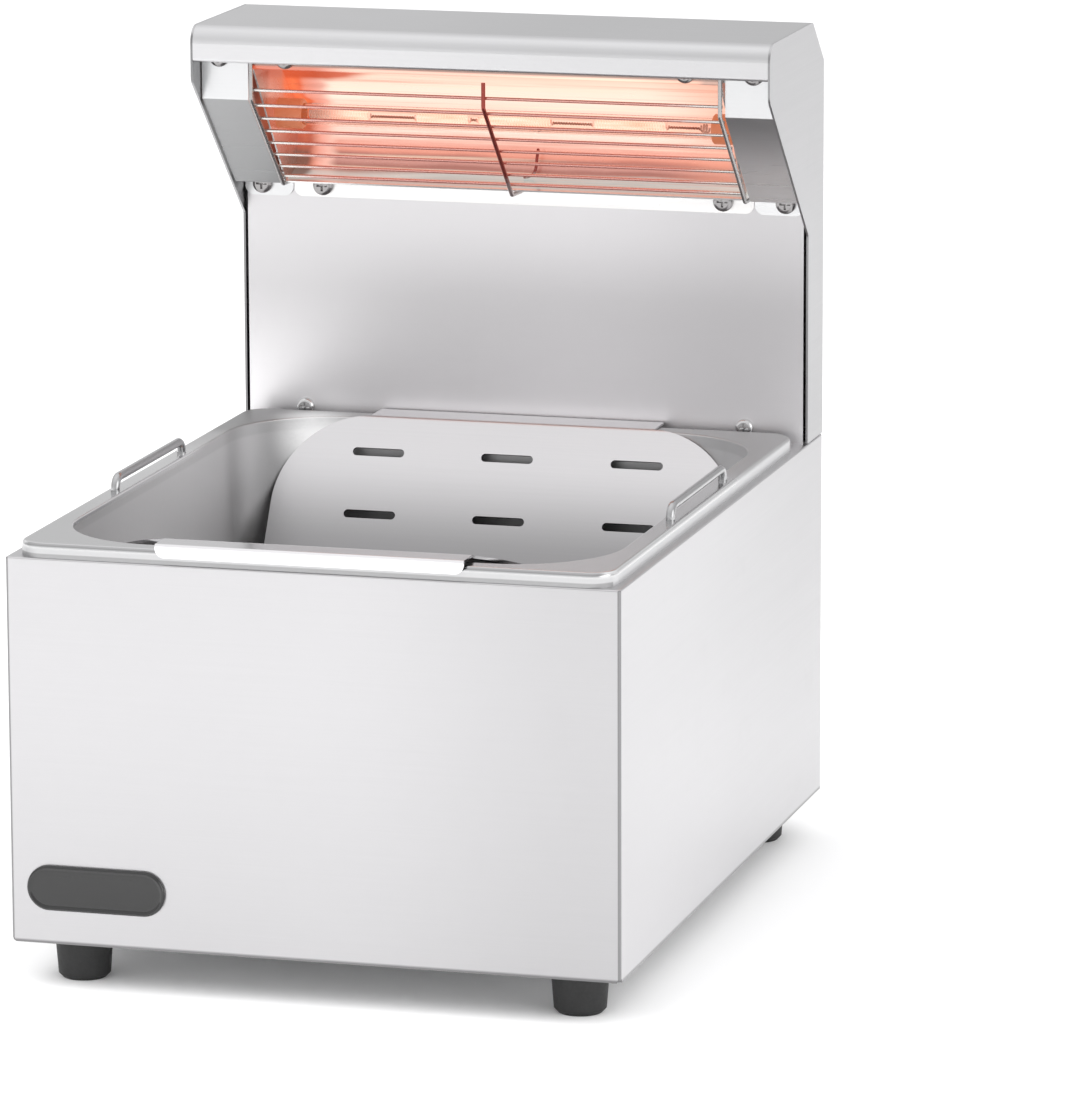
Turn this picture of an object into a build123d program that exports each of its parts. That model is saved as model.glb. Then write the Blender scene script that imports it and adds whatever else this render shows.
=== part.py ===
from build123d import *
import os
from math import atan, cos, sin, tan, radians

os.makedirs("parts", exist_ok=True)

# ---------------------------------------------------------------------------
# Driving dimensions, in millimetres.  Depth is counted back from the front
# face of the housing, height up from the lower edge of the housing.
# ---------------------------------------------------------------------------
width = 273.0            # housing, side to side
depth = 362.0            # housing, front to back
body_h = 170.0           # housing, lower edge to top flange
hood_top = 365.5         # hood top above the lower edge of the housing
hood_front = 258.0       # front face of the hood
foot_h = 20.0            # foot below the housing
sheet = 1.0              # sheet thickness of the casing
badge_t = 2.0            # badge, proud of the front face
gland_out = 16.0         # cable gland, proud of the rear panel

hw = width / 2
front_y = -(depth + gland_out - badge_t) / 2     # front face in the part's frame
floor_z = foot_h                                 # lower edge of the housing

rim = 10.5               # width of the housing's top flange at the sides
splash_y = 333.0         # front face of the splash panel
splash_top = 288.6
tower_low = 0.6          # shadow gap under the tower's side panels

pan_x, pan_y0, pan_y1 = 132.5, 1.0, 326.0        # pan rim, outside
pan_top = 176.4
bowl_x, bowl_y0, bowl_y1 = 123.0, 11.0, 314.0    # pan opening
pan_depth = 100.0
pan_draft = 2.0

handle_x, handle_y0, handle_y1 = 127.2, 118.0, 210.0
handle_d = 4.0

ramp = 30.0              # front ramp of the drain plate, degrees
plate_x = 111.0
hook_x = 68.5
slot_len, slot_w, slot_x, slot_pitch = 25.0, 4.0, 62.3, 30.7

tube_y, tube_z = 308.0, 319.5
screw_d = 4.0
clear_d = 4.3

switch_x, switch_z = 86.0, 112.0
gland_x, gland_z = 86.0, 40.0
rocker_tilt = 9.0        # half of the rocker's swing, degrees

# Working planes: right/up seen from the front, back/up seen from the right,
# and right/back seen from above, all counted from the housing's front and
# lower edges.
face = Plane(origin=(0, front_y, floor_z), x_dir=(1, 0, 0), z_dir=(0, -1, 0))
side = Plane(origin=(0, front_y, floor_z), x_dir=(0, 1, 0), z_dir=(1, 0, 0))
plan = Plane(origin=(0, front_y, floor_z), x_dir=(1, 0, 0), z_dir=(0, 0, 1))


def at_x(x):
    return side.offset(x)


def at_y(y):
    return face.offset(-y)


def at_z(z):
    return plan.offset(z)


# ---------------------------------------------------------------------------
# Base cabinet
# ---------------------------------------------------------------------------
foot_x, foot_y0, foot_y1 = 112.0, 24.5, 337.5
rear_screw_x, rear_screw_z = 130.0, (20.0, 85.0, 150.0)
base_screw_x, base_screw_y = 130.5, (60.0, 180.0, 300.0)
tower_screw_x, tower_screw_y = 131.0, (342.0, 354.0)

with BuildPart() as housing_wrap:
    # Front and both sides are one sheet, folded at the two front corners.
    with BuildSketch(at_z(0)):
        with BuildLine():
            FilletPolyline((-hw, depth - sheet), (-hw, 0), (hw, 0), (hw, depth - sheet), radius=1.6)
            offset(amount=sheet, side=Side.LEFT)
        make_face()
    extrude(amount=body_h)
    # Top flange, open at the rear, notched where the handle legs pass.
    with BuildSketch(at_z(body_h - sheet)):
        with Locations((0, (depth - sheet) / 2 + 0.25)):
            Rectangle(width - 1, depth - sheet - 0.5)
        with Locations((0, 8.5 + 200)):
            Rectangle(2 * (hw - rim), 400, mode=Mode.SUBTRACT)
        for sx in (-1, 1):
            with Locations((sx * 126.2, handle_y0), (sx * 126.2, handle_y1)):
                RectangleRounded(10.4, 14, 2.5, mode=Mode.SUBTRACT)
    extrude(amount=sheet)
    # Bottom flange.
    with BuildSketch(at_z(0)):
        with Locations((0, (depth - sheet) / 2 + 0.25)):
            Rectangle(width - 1, depth - sheet - 0.5)
        with Locations((0, 10 + 200)):
            Rectangle(2 * (hw - rim), 400, mode=Mode.SUBTRACT)
    extrude(amount=sheet)
    # Rear return flanges that the rear panel screws to.
    with BuildSketch(at_y(depth - 2 * sheet)):
        for sx in (-1, 1):
            with Locations((sx * 130.2, body_h / 2)):
                Rectangle(11.6, body_h - 2)
    extrude(amount=-sheet)
    # The folds have a small outside radius.
    top = housing_wrap.faces().sort_by(Axis.Z)[-1]
    fillet(
        top.edges().filter_by(lambda e: abs(e.center().X) > hw - 0.7 or e.center().Y < front_y + 0.7)
        .filter_by(lambda e: e.center().Y < front_y + depth - 1.5),
        radius=0.8,
    )
    # Clipped lower corners at the front.
    with BuildSketch(at_y(-1)):
        for sx in (-1, 1):
            with BuildLine():
                Polyline((sx * (hw - 2), -0.1), (sx * (hw + 1), -0.1), (sx * (hw + 1), 2.6), (sx * (hw - 2), -0.1))
            make_face()
    extrude(amount=-3.2, mode=Mode.SUBTRACT)
    # Screw holes.
    with BuildSketch(at_y(depth - 3)):
        with Locations(*[(sx * rear_screw_x, z) for sx in (-1, 1) for z in rear_screw_z]):
            Circle(clear_d / 2)
    extrude(amount=-5, mode=Mode.SUBTRACT)
    with BuildSketch(at_z(-1)):
        with Locations(*[(sx * base_screw_x, y) for sx in (-1, 1) for y in base_screw_y]):
            Circle(clear_d / 2)
    extrude(amount=4, mode=Mode.SUBTRACT)
    with BuildSketch(at_z(body_h - 2)):
        with Locations(*[(sx * tower_screw_x, y) for sx in (-1, 1) for y in tower_screw_y]):
            Circle(clear_d / 2)
    extrude(amount=4, mode=Mode.SUBTRACT)
housing_wrap.part.label = "housing_wrap"

with BuildPart() as base_plate:
    with BuildSketch(at_z(sheet)):
        with Locations((0, (2 + 359.5) / 2)):
            RectangleRounded(2 * 134.2, 357.5, 3)
        with Locations(*[(sx * foot_x, y) for sx in (-1, 1) for y in (foot_y0, foot_y1)]):
            Circle(clear_d / 2, mode=Mode.SUBTRACT)
        with Locations(*[(sx * base_screw_x, y) for sx in (-1, 1) for y in base_screw_y]):
            Circle(clear_d / 2, mode=Mode.SUBTRACT)
        # Two banks of cooling slots.
        with Locations((-45, 120), (45, 120), (-45, 240), (45, 240)):
            with GridLocations(0, 9, 1, 8):
                SlotOverall(56, 3.6, mode=Mode.SUBTRACT)
    extrude(amount=sheet)
base_plate.part.label = "base_plate"

with BuildPart() as rear_panel:
    with BuildSketch(at_y(depth - sheet)):
        with Locations((0, body_h / 2)):
            RectangleRounded(2 * 136.2, body_h - 0.6, 1)
        with Locations(*[(sx * rear_screw_x, z) for sx in (-1, 1) for z in rear_screw_z]):
            Circle(clear_d / 2, mode=Mode.SUBTRACT)
        with Locations((switch_x, switch_z)):
            Rectangle(21.8, 28.0, mode=Mode.SUBTRACT)
        with Locations((gland_x, gland_z)):
            Circle(8.2, mode=Mode.SUBTRACT)
        with Locations((gland_x - 38, gland_z)):
            Circle(2.65, mode=Mode.SUBTRACT)
        with Locations((-45, 85)):
            with GridLocations(46, 9, 2, 9):
                SlotOverall(38, 3.6, mode=Mode.SUBTRACT)
    extrude(amount=-sheet)
rear_panel.part.label = "rear_panel"

with BuildPart() as rear_deck:
    # Flush deck behind the pan, with joggled side tabs under the top flange
    # and a stiffening fold at its front edge.
    with BuildSketch(at_z(body_h - sheet)):
        with Locations((0, (318 + 361) / 2)):
            Rectangle(2 * 125.8, 43)
    extrude(amount=sheet)
    with BuildSketch(at_z(body_h - 2 * sheet)):
        for sx in (-1, 1):
            with Locations((sx * 127.0, 340)):
                Rectangle(14, 36)
    extrude(amount=sheet)
    with BuildSketch(at_y(318)):
        with Locations((0, body_h - 6)):
            Rectangle(2 * 121.5, 11.5)
    extrude(amount=-sheet)
    with BuildSketch(at_z(body_h - 4)):
        with Locations(*[(sx * tower_screw_x, y) for sx in (-1, 1) for y in tower_screw_y]):
            Circle(clear_d / 2)
        with Locations((60, 352)):
            Circle(6.6)
    extrude(amount=6, mode=Mode.SUBTRACT)
rear_deck.part.label = "rear_deck"

# Rubber feet: tapered, with a rounded tread edge and a deep screw well.
foot_profile = [(2.15, 9), (4.75, 9), (4.75, 0), (9.6, 0), (11.4, 1.9), (12.8, foot_h + sheet - 0.8),
                (12.0, foot_h + sheet), (2.15, foot_h + sheet), (2.15, 9)]

with BuildPart() as foot_front_left:
    with BuildSketch(Plane(origin=(-foot_x, front_y + foot_y0, 0), x_dir=(1, 0, 0), z_dir=(0, -1, 0))):
        with BuildLine():
            Polyline(*foot_profile)
        foot_face = make_face()
        fillet(foot_face.vertices().sort_by_distance((-foot_x + 11.4, front_y + foot_y0, 1.9))[0], 2.0)
    revolve(axis=Axis((-foot_x, front_y + foot_y0, 0), (0, 0, 1)))
foot_front_left.part.label = "foot_front_left"

with BuildPart() as foot_front_right:
    mirror(objects=foot_front_left.part, about=Plane.YZ)
foot_front_right.part.label = "foot_front_right"

with BuildPart() as foot_rear_left:
    with Locations((0, foot_y1 - foot_y0, 0)):
        add(foot_front_left.part)
foot_rear_left.part.label = "foot_rear_left"

with BuildPart() as foot_rear_right:
    with Locations((0, foot_y1 - foot_y0, 0)):
        add(foot_front_right.part)
foot_rear_right.part.label = "foot_rear_right"

foot_spots = [(sx * foot_x, y) for sx in (-1, 1) for y in (foot_y0, foot_y1)]

with BuildPart() as foot_screws:
    # Pan-head screws drawn up into the feet from below.
    with BuildSketch(at_z(-foot_h + 6.4)):
        with Locations(*foot_spots):
            Circle(4.0)
    extrude(amount=2.6)
    fillet(foot_screws.edges().filter_by(GeomType.CIRCLE).group_by(Axis.Z)[0], radius=1.2)
    with BuildSketch(at_z(-foot_h + 8.5)):
        with Locations(*foot_spots):
            Circle(screw_d / 2)
    extrude(amount=foot_h - 1.5)
    with BuildSketch(at_z(-foot_h + 6.4)):
        for spot in foot_spots:
            with Locations(spot):
                Rectangle(4.2, 0.9)
                Rectangle(0.9, 4.2)
    extrude(amount=1.4, mode=Mode.SUBTRACT)
foot_screws.part.label = "foot_screws"

with BuildPart() as foot_nuts:
    with BuildSketch(at_z(2 * sheet)):
        with Locations(*foot_spots):
            RegularPolygon(radius=3.5, side_count=6, major_radius=False)
            Circle(2.03, mode=Mode.SUBTRACT)
    extrude(amount=3.2)
foot_nuts.part.label = "foot_nuts"

with BuildPart() as base_screws:
    with BuildSketch(at_z(0)):
        with Locations(*[(sx * base_screw_x, y) for sx in (-1, 1) for y in base_screw_y]):
            Circle(4.0)
    extrude(amount=-2.4)
    fillet(base_screws.edges().filter_by(GeomType.CIRCLE).group_by(Axis.Z)[0], radius=1.2)
    with BuildSketch(at_z(-0.5)):
        with Locations(*[(sx * base_screw_x, y) for sx in (-1, 1) for y in base_screw_y]):
            Circle(screw_d / 2)
    extrude(amount=7.5)
    with BuildSketch(at_z(-2.4)):
        for spot in [(sx * base_screw_x, y) for sx in (-1, 1) for y in base_screw_y]:
            with Locations(spot):
                Rectangle(4.2, 0.9)
                Rectangle(0.9, 4.2)
    extrude(amount=1.4, mode=Mode.SUBTRACT)
base_screws.part.label = "base_screws"

with BuildPart() as rear_panel_screws:
    with BuildSketch(at_y(depth)):
        with Locations(*[(sx * rear_screw_x, z) for sx in (-1, 1) for z in rear_screw_z]):
            Circle(4.0)
    extrude(amount=-2.4)
    fillet(rear_panel_screws.edges().filter_by(GeomType.CIRCLE).group_by(Axis.Y)[-1], radius=1.2)
    with BuildSketch(at_y(depth + 0.5)):
        with Locations(*[(sx * rear_screw_x, z) for sx in (-1, 1) for z in rear_screw_z]):
            Circle(screw_d / 2)
    extrude(amount=8.5)
    with BuildSketch(at_y(depth + 2.4)):
        for spot in [(sx * rear_screw_x, z) for sx in (-1, 1) for z in rear_screw_z]:
            with Locations(spot):
                Rectangle(4.2, 0.9)
                Rectangle(0.9, 4.2)
    extrude(amount=1.4, mode=Mode.SUBTRACT)
rear_panel_screws.part.label = "rear_panel_screws"

with BuildPart() as badge:
    # Pill-shaped bare badge with a domed face.
    with BuildSketch(at_y(0)):
        with Locations((-97.4, 25.0)):
            RectangleRounded(62.7, 20.0, 9.6)
    extrude(amount=badge_t)
    fillet(badge.faces().sort_by(Axis.Y)[0].edges(), radius=1.4)
badge.part.label = "badge"

# ---------------------------------------------------------------------------
# Tower and hood
# ---------------------------------------------------------------------------
with BuildPart() as tower_side_right:
    with BuildSketch(at_x(hw - sheet)):
        with BuildLine():
            FilletPolyline((splash_y, body_h + tower_low), (splash_y, 268), (hood_front, 340),
                           (hood_front, hood_top), (340, hood_top), (depth, 345.5),
                           (depth, body_h + tower_low), radius=[2, 6, 8, 3, 3])
            Line((depth, body_h + tower_low), (splash_y, body_h + tower_low))
        make_face()
    extrude(amount=sheet)
    # Foot flange that stands on the housing.
    with BuildSketch(at_z(body_h)):
        with Locations(((126.5 + 135.9) / 2, 348.5)):
            Rectangle(9.4, 25)
        with Locations(*[(tower_screw_x, y) for y in tower_screw_y]):
            Circle(clear_d / 2, mode=Mode.SUBTRACT)
    extrude(amount=sheet)
    # Rear return flange behind the back cover.
    with BuildSketch(at_y(depth - sheet)):
        with Locations(((124.5 + 135.7) / 2, (173 + 340) / 2)):
            Rectangle(11.2, 167)
        with Locations((129, 196), (129, 257), (129, 318)):
            Circle(clear_d / 2, mode=Mode.SUBTRACT)
    extrude(amount=-sheet)
tower_side_right.part.label = "tower_side_right"

with BuildPart() as tower_side_left:
    mirror(objects=tower_side_right.part, about=Plane.YZ)
tower_side_left.part.label = "tower_side_left"

with BuildPart() as hood_cover:
    # One strip: lower return, front flange, rolled front edge, top, rear bevel.
    with BuildSketch(at_x(-(hw - sheet - 0.05))):
        with BuildLine():
            FilletPolyline((hood_front + 6, 349), (hood_front, 349), (hood_front, hood_top),
                           (340, hood_top), (depth, 345.5), (depth, 341.2), radius=[1.5, 8, 3, 3])
            offset(amount=sheet, side=Side.RIGHT)
        make_face()
    extrude(amount=2 * (hw - sheet - 0.05))
hood_cover.part.label = "hood_cover"

cover_spots = [(sx * x, z) for sx in (-1, 1) for x, z in ((129, 196), (129, 257), (129, 318))]

with BuildPart() as tower_back_cover:
    with BuildSketch(at_y(depth)):
        with Locations((0, (164 + 344.8) / 2)):
            RectangleRounded(2 * 134, 180.8, 2)
        with Locations(*cover_spots):
            Circle(clear_d / 2, mode=Mode.SUBTRACT)
        with Locations((0, 262)):
            with GridLocations(66, 10, 3, 9):
                SlotOverall(52, 3.6, mode=Mode.SUBTRACT)
    extrude(amount=-sheet)
tower_back_cover.part.label = "tower_back_cover"

with BuildPart() as back_cover_screws:
    with BuildSketch(at_y(depth + sheet)):
        with Locations(*cover_spots):
            Circle(4.0)
    extrude(amount=-2.4)
    fillet(back_cover_screws.edges().filter_by(GeomType.CIRCLE).group_by(Axis.Y)[-1], radius=1.2)
    with BuildSketch(at_y(depth + sheet + 0.5)):
        with Locations(*cover_spots):
            Circle(screw_d / 2)
    extrude(amount=9)
    with BuildSketch(at_y(depth + sheet + 2.4)):
        for spot in cover_spots:
            with Locations(spot):
                Rectangle(4.2, 0.9)
                Rectangle(0.9, 4.2)
    extrude(amount=1.4, mode=Mode.SUBTRACT)
back_cover_screws.part.label = "back_cover_screws"

tower_spots = [(sx * tower_screw_x, y) for sx in (-1, 1) for y in tower_screw_y]

with BuildPart() as tower_screws:
    with BuildSketch(at_z(body_h + sheet)):
        with Locations(*tower_spots):
            Circle(3.8)
    extrude(amount=2.4)
    fillet(tower_screws.edges().filter_by(GeomType.CIRCLE).group_by(Axis.Z)[-1], radius=1.2)
    with BuildSketch(at_z(body_h + sheet + 0.5)):
        with Locations(*tower_spots):
            Circle(screw_d / 2)
    extrude(amount=-9)
tower_screws.part.label = "tower_screws"

low_screw_x, low_screw_z = 106.5, 176.8
heat_low_x, heat_low_z = (96.5, 126.2), 282.6
heat_up_x, heat_up_z = (94.5, 126.2), 350.4

with BuildPart() as splash_panel:
    with BuildSketch(at_y(splash_y)):
        with Locations((0, (body_h + splash_top) / 2)):
            Rectangle(2 * 134.2, splash_top - body_h)
        with Locations(*[(sx * low_screw_x, low_screw_z) for sx in (-1, 1)]):
            Circle(clear_d / 2, mode=Mode.SUBTRACT)
        with Locations(*[(sx * x, heat_low_z) for sx in (-1, 1) for x in heat_low_x]):
            Circle(2.65, mode=Mode.SUBTRACT)
    extrude(amount=-sheet)
splash_panel.part.label = "splash_panel"

with BuildPart() as splash_angle:
    # Angle on the deck that the lower edge of the splash panel screws to.
    with BuildSketch(at_x(-124)):
        with BuildLine():
            FilletPolyline((splash_y + sheet, 188), (splash_y + sheet, body_h), (343.5, body_h), radius=1.4)
            offset(amount=sheet, side=Side.LEFT)
        make_face()
    extrude(amount=248)
    with BuildSketch(at_y(splash_y)):
        with Locations(*[(sx * low_screw_x, low_screw_z) for sx in (-1, 1)]):
            Circle(clear_d / 2)
    extrude(amount=-6, mode=Mode.SUBTRACT)
splash_angle.part.label = "splash_angle"

splash_spots = [(sx * low_screw_x, low_screw_z) for sx in (-1, 1)]

with BuildPart() as splash_screws:
    with BuildSketch(at_y(splash_y)):
        with Locations(*splash_spots):
            Circle(4.1)
    extrude(amount=2.6)
    fillet(splash_screws.edges().filter_by(GeomType.CIRCLE).group_by(Axis.Y)[0], radius=1.5)
    with BuildSketch(at_y(splash_y - 0.5)):
        with Locations(*splash_spots):
            Circle(screw_d / 2)
    extrude(amount=-9)
    with BuildSketch(at_y(splash_y - 2.6)):
        for spot in splash_spots:
            with Locations(spot):
                Rectangle(4.6, 1.0)
                Rectangle(1.0, 4.6)
    extrude(amount=-1.6, mode=Mode.SUBTRACT)
splash_screws.part.label = "splash_screws"

with BuildPart() as splash_nuts:
    with BuildSketch(at_y(splash_y + 2 * sheet)):
        with Locations(*splash_spots):
            RegularPolygon(radius=3.5, side_count=6, major_radius=False)
            Circle(2.03, mode=Mode.SUBTRACT)
    extrude(amount=-3.2)
splash_nuts.part.label = "splash_nuts"

# ---------------------------------------------------------------------------
# Heater under the hood
# ---------------------------------------------------------------------------
with BuildPart() as heater_rail:
    # Angle welded under the hood; the heater's upper edge screws to it.
    with BuildSketch(at_x(-135.2)):
        with BuildLine():
            FilletPolyline((271, 346.2), (271, hood_top - sheet), (290, hood_top - sheet), radius=1.4)
            offset(amount=sheet, side=Side.RIGHT)
        make_face()
    extrude(amount=270.4)
    with BuildSketch(at_y(268)):
        with Locations(*[(sx * x, heat_up_z) for sx in (-1, 1) for x in heat_up_x]):
            Circle(2.65)
    extrude(amount=-6, mode=Mode.SUBTRACT)
heater_rail.part.label = "heater_rail"

with BuildPart() as heater_bracket_right:
    # Folded terminal cover: upright face, sloped face, underside, foot tab.
    with BuildSketch(at_x(112.8)):
        with BuildLine():
            FilletPolyline((270, 358), (270, 330.5), (317, 285), (332, 288.6), (332, 282), radius=[1.2, 1.2, 0.5])
            offset(amount=sheet, side=Side.LEFT)
        make_face()
    extrude(amount=22.2)
    # Foot tab, a little wider than the cover, with rounded lower corners.
    with BuildSketch(at_y(332)):
        with BuildLine():
            FilletPolyline((111.3, 288.0), (111.3, 276.8), (135.0, 276.8), (135.0, 288.0), radius=4.5)
            Line((135.0, 288.0), (111.3, 288.0))
        make_face()
    extrude(amount=-sheet)
    # Cheek towards the reflector, which carries the tube end.
    with BuildSketch(at_x(112.8)):
        with BuildLine():
            Polyline((270.4, 345.5), (270.4, 331.0), (317.2, 285.6), (331.6, 289.2), (331.6, 346), (318, 357.5),
                     (272.4, 357.5), (272.4, 345.5), (270.4, 345.5))
        make_face()
        with Locations((tube_y, tube_z)):
            Circle(7.2, mode=Mode.SUBTRACT)
    extrude(amount=sheet)
    with BuildSketch(at_y(268)):
        with Locations((heat_up_x[1], heat_up_z)):
            Circle(2.65)
    extrude(amount=-6, mode=Mode.SUBTRACT)
    with BuildSketch(at_y(330)):
        with Locations((heat_low_x[1], heat_low_z)):
            Circle(2.65)
    extrude(amount=-6, mode=Mode.SUBTRACT)
heater_bracket_right.part.label = "heater_bracket_right"

with BuildPart() as heater_bracket_left:
    mirror(objects=heater_bracket_right.part, about=Plane.YZ)
heater_bracket_left.part.label = "heater_bracket_left"

refl_t = 0.8
with BuildPart() as reflector:
    # Bright trough: lip, roof, back and the forward ledge, in one strip.
    with BuildSketch(at_x(-111)):
        with BuildLine():
            FilletPolyline((270, 358), (270, 344.8), (303, 347.4), (338, 318), (333.4, 290.6), (317.6, 286.2),
                           radius=[0.9, 3, 5, 1.2])
            offset(amount=refl_t, side=Side.LEFT)
        make_face()
    extrude(amount=222)
    # Hanging strip that screws to the splash panel.
    with BuildSketch(at_y(332)):
        with BuildLine():
            FilletPolyline((-110.8, 289.9), (-110.8, 277.0), (110.8, 277.0), (110.8, 289.9), radius=4.0)
            Line((110.8, 289.9), (-110.8, 289.9))
        make_face()
    extrude(amount=-sheet)
    # End walls with the tube holes.
    for x0 in (-111, 111 - refl_t):
        with BuildSketch(at_x(x0)):
            with BuildLine():
                Polyline((270.4, 345.2), (303, 347.8), (338.3, 318.2), (333.6, 290.2), (318.0, 286.0), (270.4, 345.2))
            make_face()
            with Locations((tube_y, tube_z)):
                Circle(7.2, mode=Mode.SUBTRACT)
        extrude(amount=refl_t)
    with BuildSketch(at_y(268)):
        with Locations(*[(sx * heat_up_x[0], heat_up_z) for sx in (-1, 1)]):
            Circle(2.65)
    extrude(amount=-3.2, mode=Mode.SUBTRACT)
    with BuildSketch(at_y(331)):
        with Locations(*[(sx * heat_low_x[0], heat_low_z) for sx in (-1, 1)]):
            Circle(2.65)
    extrude(amount=-4, mode=Mode.SUBTRACT)
reflector.part.label = "reflector"

with BuildPart() as heater_tube:
    # Open quartz tube.
    with BuildSketch(at_x(-104)):
        with Locations((tube_y, tube_z)):
            Circle(5.0)
            Circle(4.0, mode=Mode.SUBTRACT)
    extrude(amount=208)
heater_tube.part.label = "heater_tube"

with BuildPart() as heater_filament:
    # Envelope of the resistance coil, with its straight ends.
    with BuildSketch(at_x(-98)):
        with Locations((tube_y, tube_z)):
            Circle(2.6)
    extrude(amount=196)
    with BuildSketch(at_x(-112)):
        with Locations((tube_y, tube_z)):
            Circle(0.8)
    extrude(amount=224)
heater_filament.part.label = "heater_filament"

with BuildPart() as tube_caps:
    # Ceramic end caps: a sleeve over the tube and a flange outside the cheek.
    for sx in (-1, 1):
        with BuildSketch(at_x(sx * 98)):
            with Locations((tube_y, tube_z)):
                Circle(7.0)
        extrude(amount=sx * 18)
        with BuildSketch(at_x(sx * 98)):
            with Locations((tube_y, tube_z)):
                Circle(5.05)
        extrude(amount=sx * 6.1, mode=Mode.SUBTRACT)
        with BuildSketch(at_x(sx * 98)):
            with Locations((tube_y, tube_z)):
                Circle(0.85)
        extrude(amount=sx * 14.1, mode=Mode.SUBTRACT)
    chamfer(tube_caps.edges().filter_by(GeomType.CIRCLE).filter_by(lambda e: e.radius > 6.5), length=0.7)
tube_caps.part.label = "tube_caps"

with BuildPart() as tube_terminals:
    # Spade terminals pushed into the outer ends of the caps.
    for sx in (-1, 1):
        with BuildSketch(at_x(sx * 116)):
            with Locations((tube_y, tube_z)):
                Rectangle(0.8, 6.3)
        extrude(amount=sx * 8)
tube_terminals.part.label = "tube_terminals"

# Guard: welded wire.  The slope runs down and back from the bend.
bend_y, bend_z = 268.0, 331.0
slope_y, slope_z = 315.1, 285.2
slope_len = ((slope_y - bend_y) ** 2 + (slope_z - bend_z) ** 2) ** 0.5
dy, dz = (slope_y - bend_y) / slope_len, (slope_z - bend_z) / slope_len
frame_d, bar_d = 2.0, 1.5

with BuildPart() as guard_frame:
    # Two bent end wires, welded to the reflector's lip and strip.
    for sx in (-1, 1):
        with BuildLine(at_x(sx * 110.9)) as end_line:
            FilletPolyline((270.0, 353), (bend_y, 351), (bend_y, bend_z), (slope_y, slope_z), (332.0, 285.0),
                           radius=[0.9, 2.0, 2.0])
        with BuildSketch(Plane(origin=end_line.line @ 0, z_dir=end_line.line % 0)):
            Circle(frame_d / 2)
        sweep(path=end_line.line)
guard_frame.part.label = "guard_frame"

with BuildPart() as guard_stay:
    # Middle wire with its short hooked end.
    with BuildLine(at_x(0)) as stay_line:
        FilletPolyline((bend_y, 342.7), (bend_y, bend_z), (slope_y - 0.4, slope_z - 1.0), (330.0, 283.6),
                       radius=[2.0, 2.0])
    with BuildSketch(Plane(origin=stay_line.line @ 0, z_dir=stay_line.line % 0)):
        Circle(frame_d / 2 - 0.05)
    sweep(path=stay_line.line)
guard_stay.part.label = "guard_stay"

inset = frame_d / 2 + bar_d / 2
bar_spots = [(bend_y + inset, 335.4)]
for run in (6.3, 16.4, 26.1, 35.3, 44.5, 53.7, 61.5):
    bar_spots.append((bend_y + dy * run - dz * inset, bend_z + dz * run + dy * inset))

with BuildPart() as guard_bars:
    with BuildSketch(at_x(-111.6)):
        with Locations(*bar_spots):
            Circle(bar_d / 2)
    extrude(amount=223.2)
guard_bars.part.label = "guard_bars"

up_spots = [(sx * x, heat_up_z) for sx in (-1, 1) for x in heat_up_x]
low_spots = [(sx * x, heat_low_z) for sx in (-1, 1) for x in heat_low_x]

with BuildPart() as heater_screws_upper:
    with BuildSketch(at_y(270)):
        with Locations(*up_spots):
            Circle(4.75)
    extrude(amount=3.4)
    fillet(heater_screws_upper.edges().filter_by(GeomType.CIRCLE).group_by(Axis.Y)[0], radius=2.0)
    with BuildSketch(at_y(269.5)):
        with Locations(*up_spots):
            Circle(2.5)
    extrude(amount=-9)
    with BuildSketch(at_y(266.6)):
        for spot in up_spots:
            with Locations(spot):
                Rectangle(5.2, 1.1)
                Rectangle(1.1, 5.2)
    extrude(amount=-2.0, mode=Mode.SUBTRACT)
heater_screws_upper.part.label = "heater_screws_upper"

with BuildPart() as heater_nuts_upper:
    with BuildSketch(at_y(272)):
        with Locations(*up_spots):
            RegularPolygon(radius=4.0, side_count=6, major_radius=False)
            Circle(2.53, mode=Mode.SUBTRACT)
    extrude(amount=-3.6)
heater_nuts_upper.part.label = "heater_nuts_upper"

with BuildPart() as heater_screws_lower:
    with BuildSketch(at_y(332)):
        with Locations(*low_spots):
            Circle(4.75)
    extrude(amount=3.2)
    fillet(heater_screws_lower.edges().filter_by(GeomType.CIRCLE).group_by(Axis.Y)[0], radius=1.9)
    with BuildSketch(at_y(331.5)):
        with Locations(*low_spots):
            Circle(2.5)
    extrude(amount=-8)
    with BuildSketch(at_y(328.8)):
        for spot in low_spots:
            with Locations(spot):
                Rectangle(5.2, 1.1)
                Rectangle(1.1, 5.2)
    extrude(amount=-2.0, mode=Mode.SUBTRACT)
heater_screws_lower.part.label = "heater_screws_lower"

with BuildPart() as heater_nuts_lower:
    with BuildSketch(at_y(splash_y + sheet)):
        with Locations(*low_spots):
            RegularPolygon(radius=4.0, side_count=6, major_radius=False)
            Circle(2.53, mode=Mode.SUBTRACT)
    extrude(amount=-3.6)
heater_nuts_lower.part.label = "heater_nuts_lower"

# ---------------------------------------------------------------------------
# Electrics
# ---------------------------------------------------------------------------
pivot_y = depth - 1.0

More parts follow.
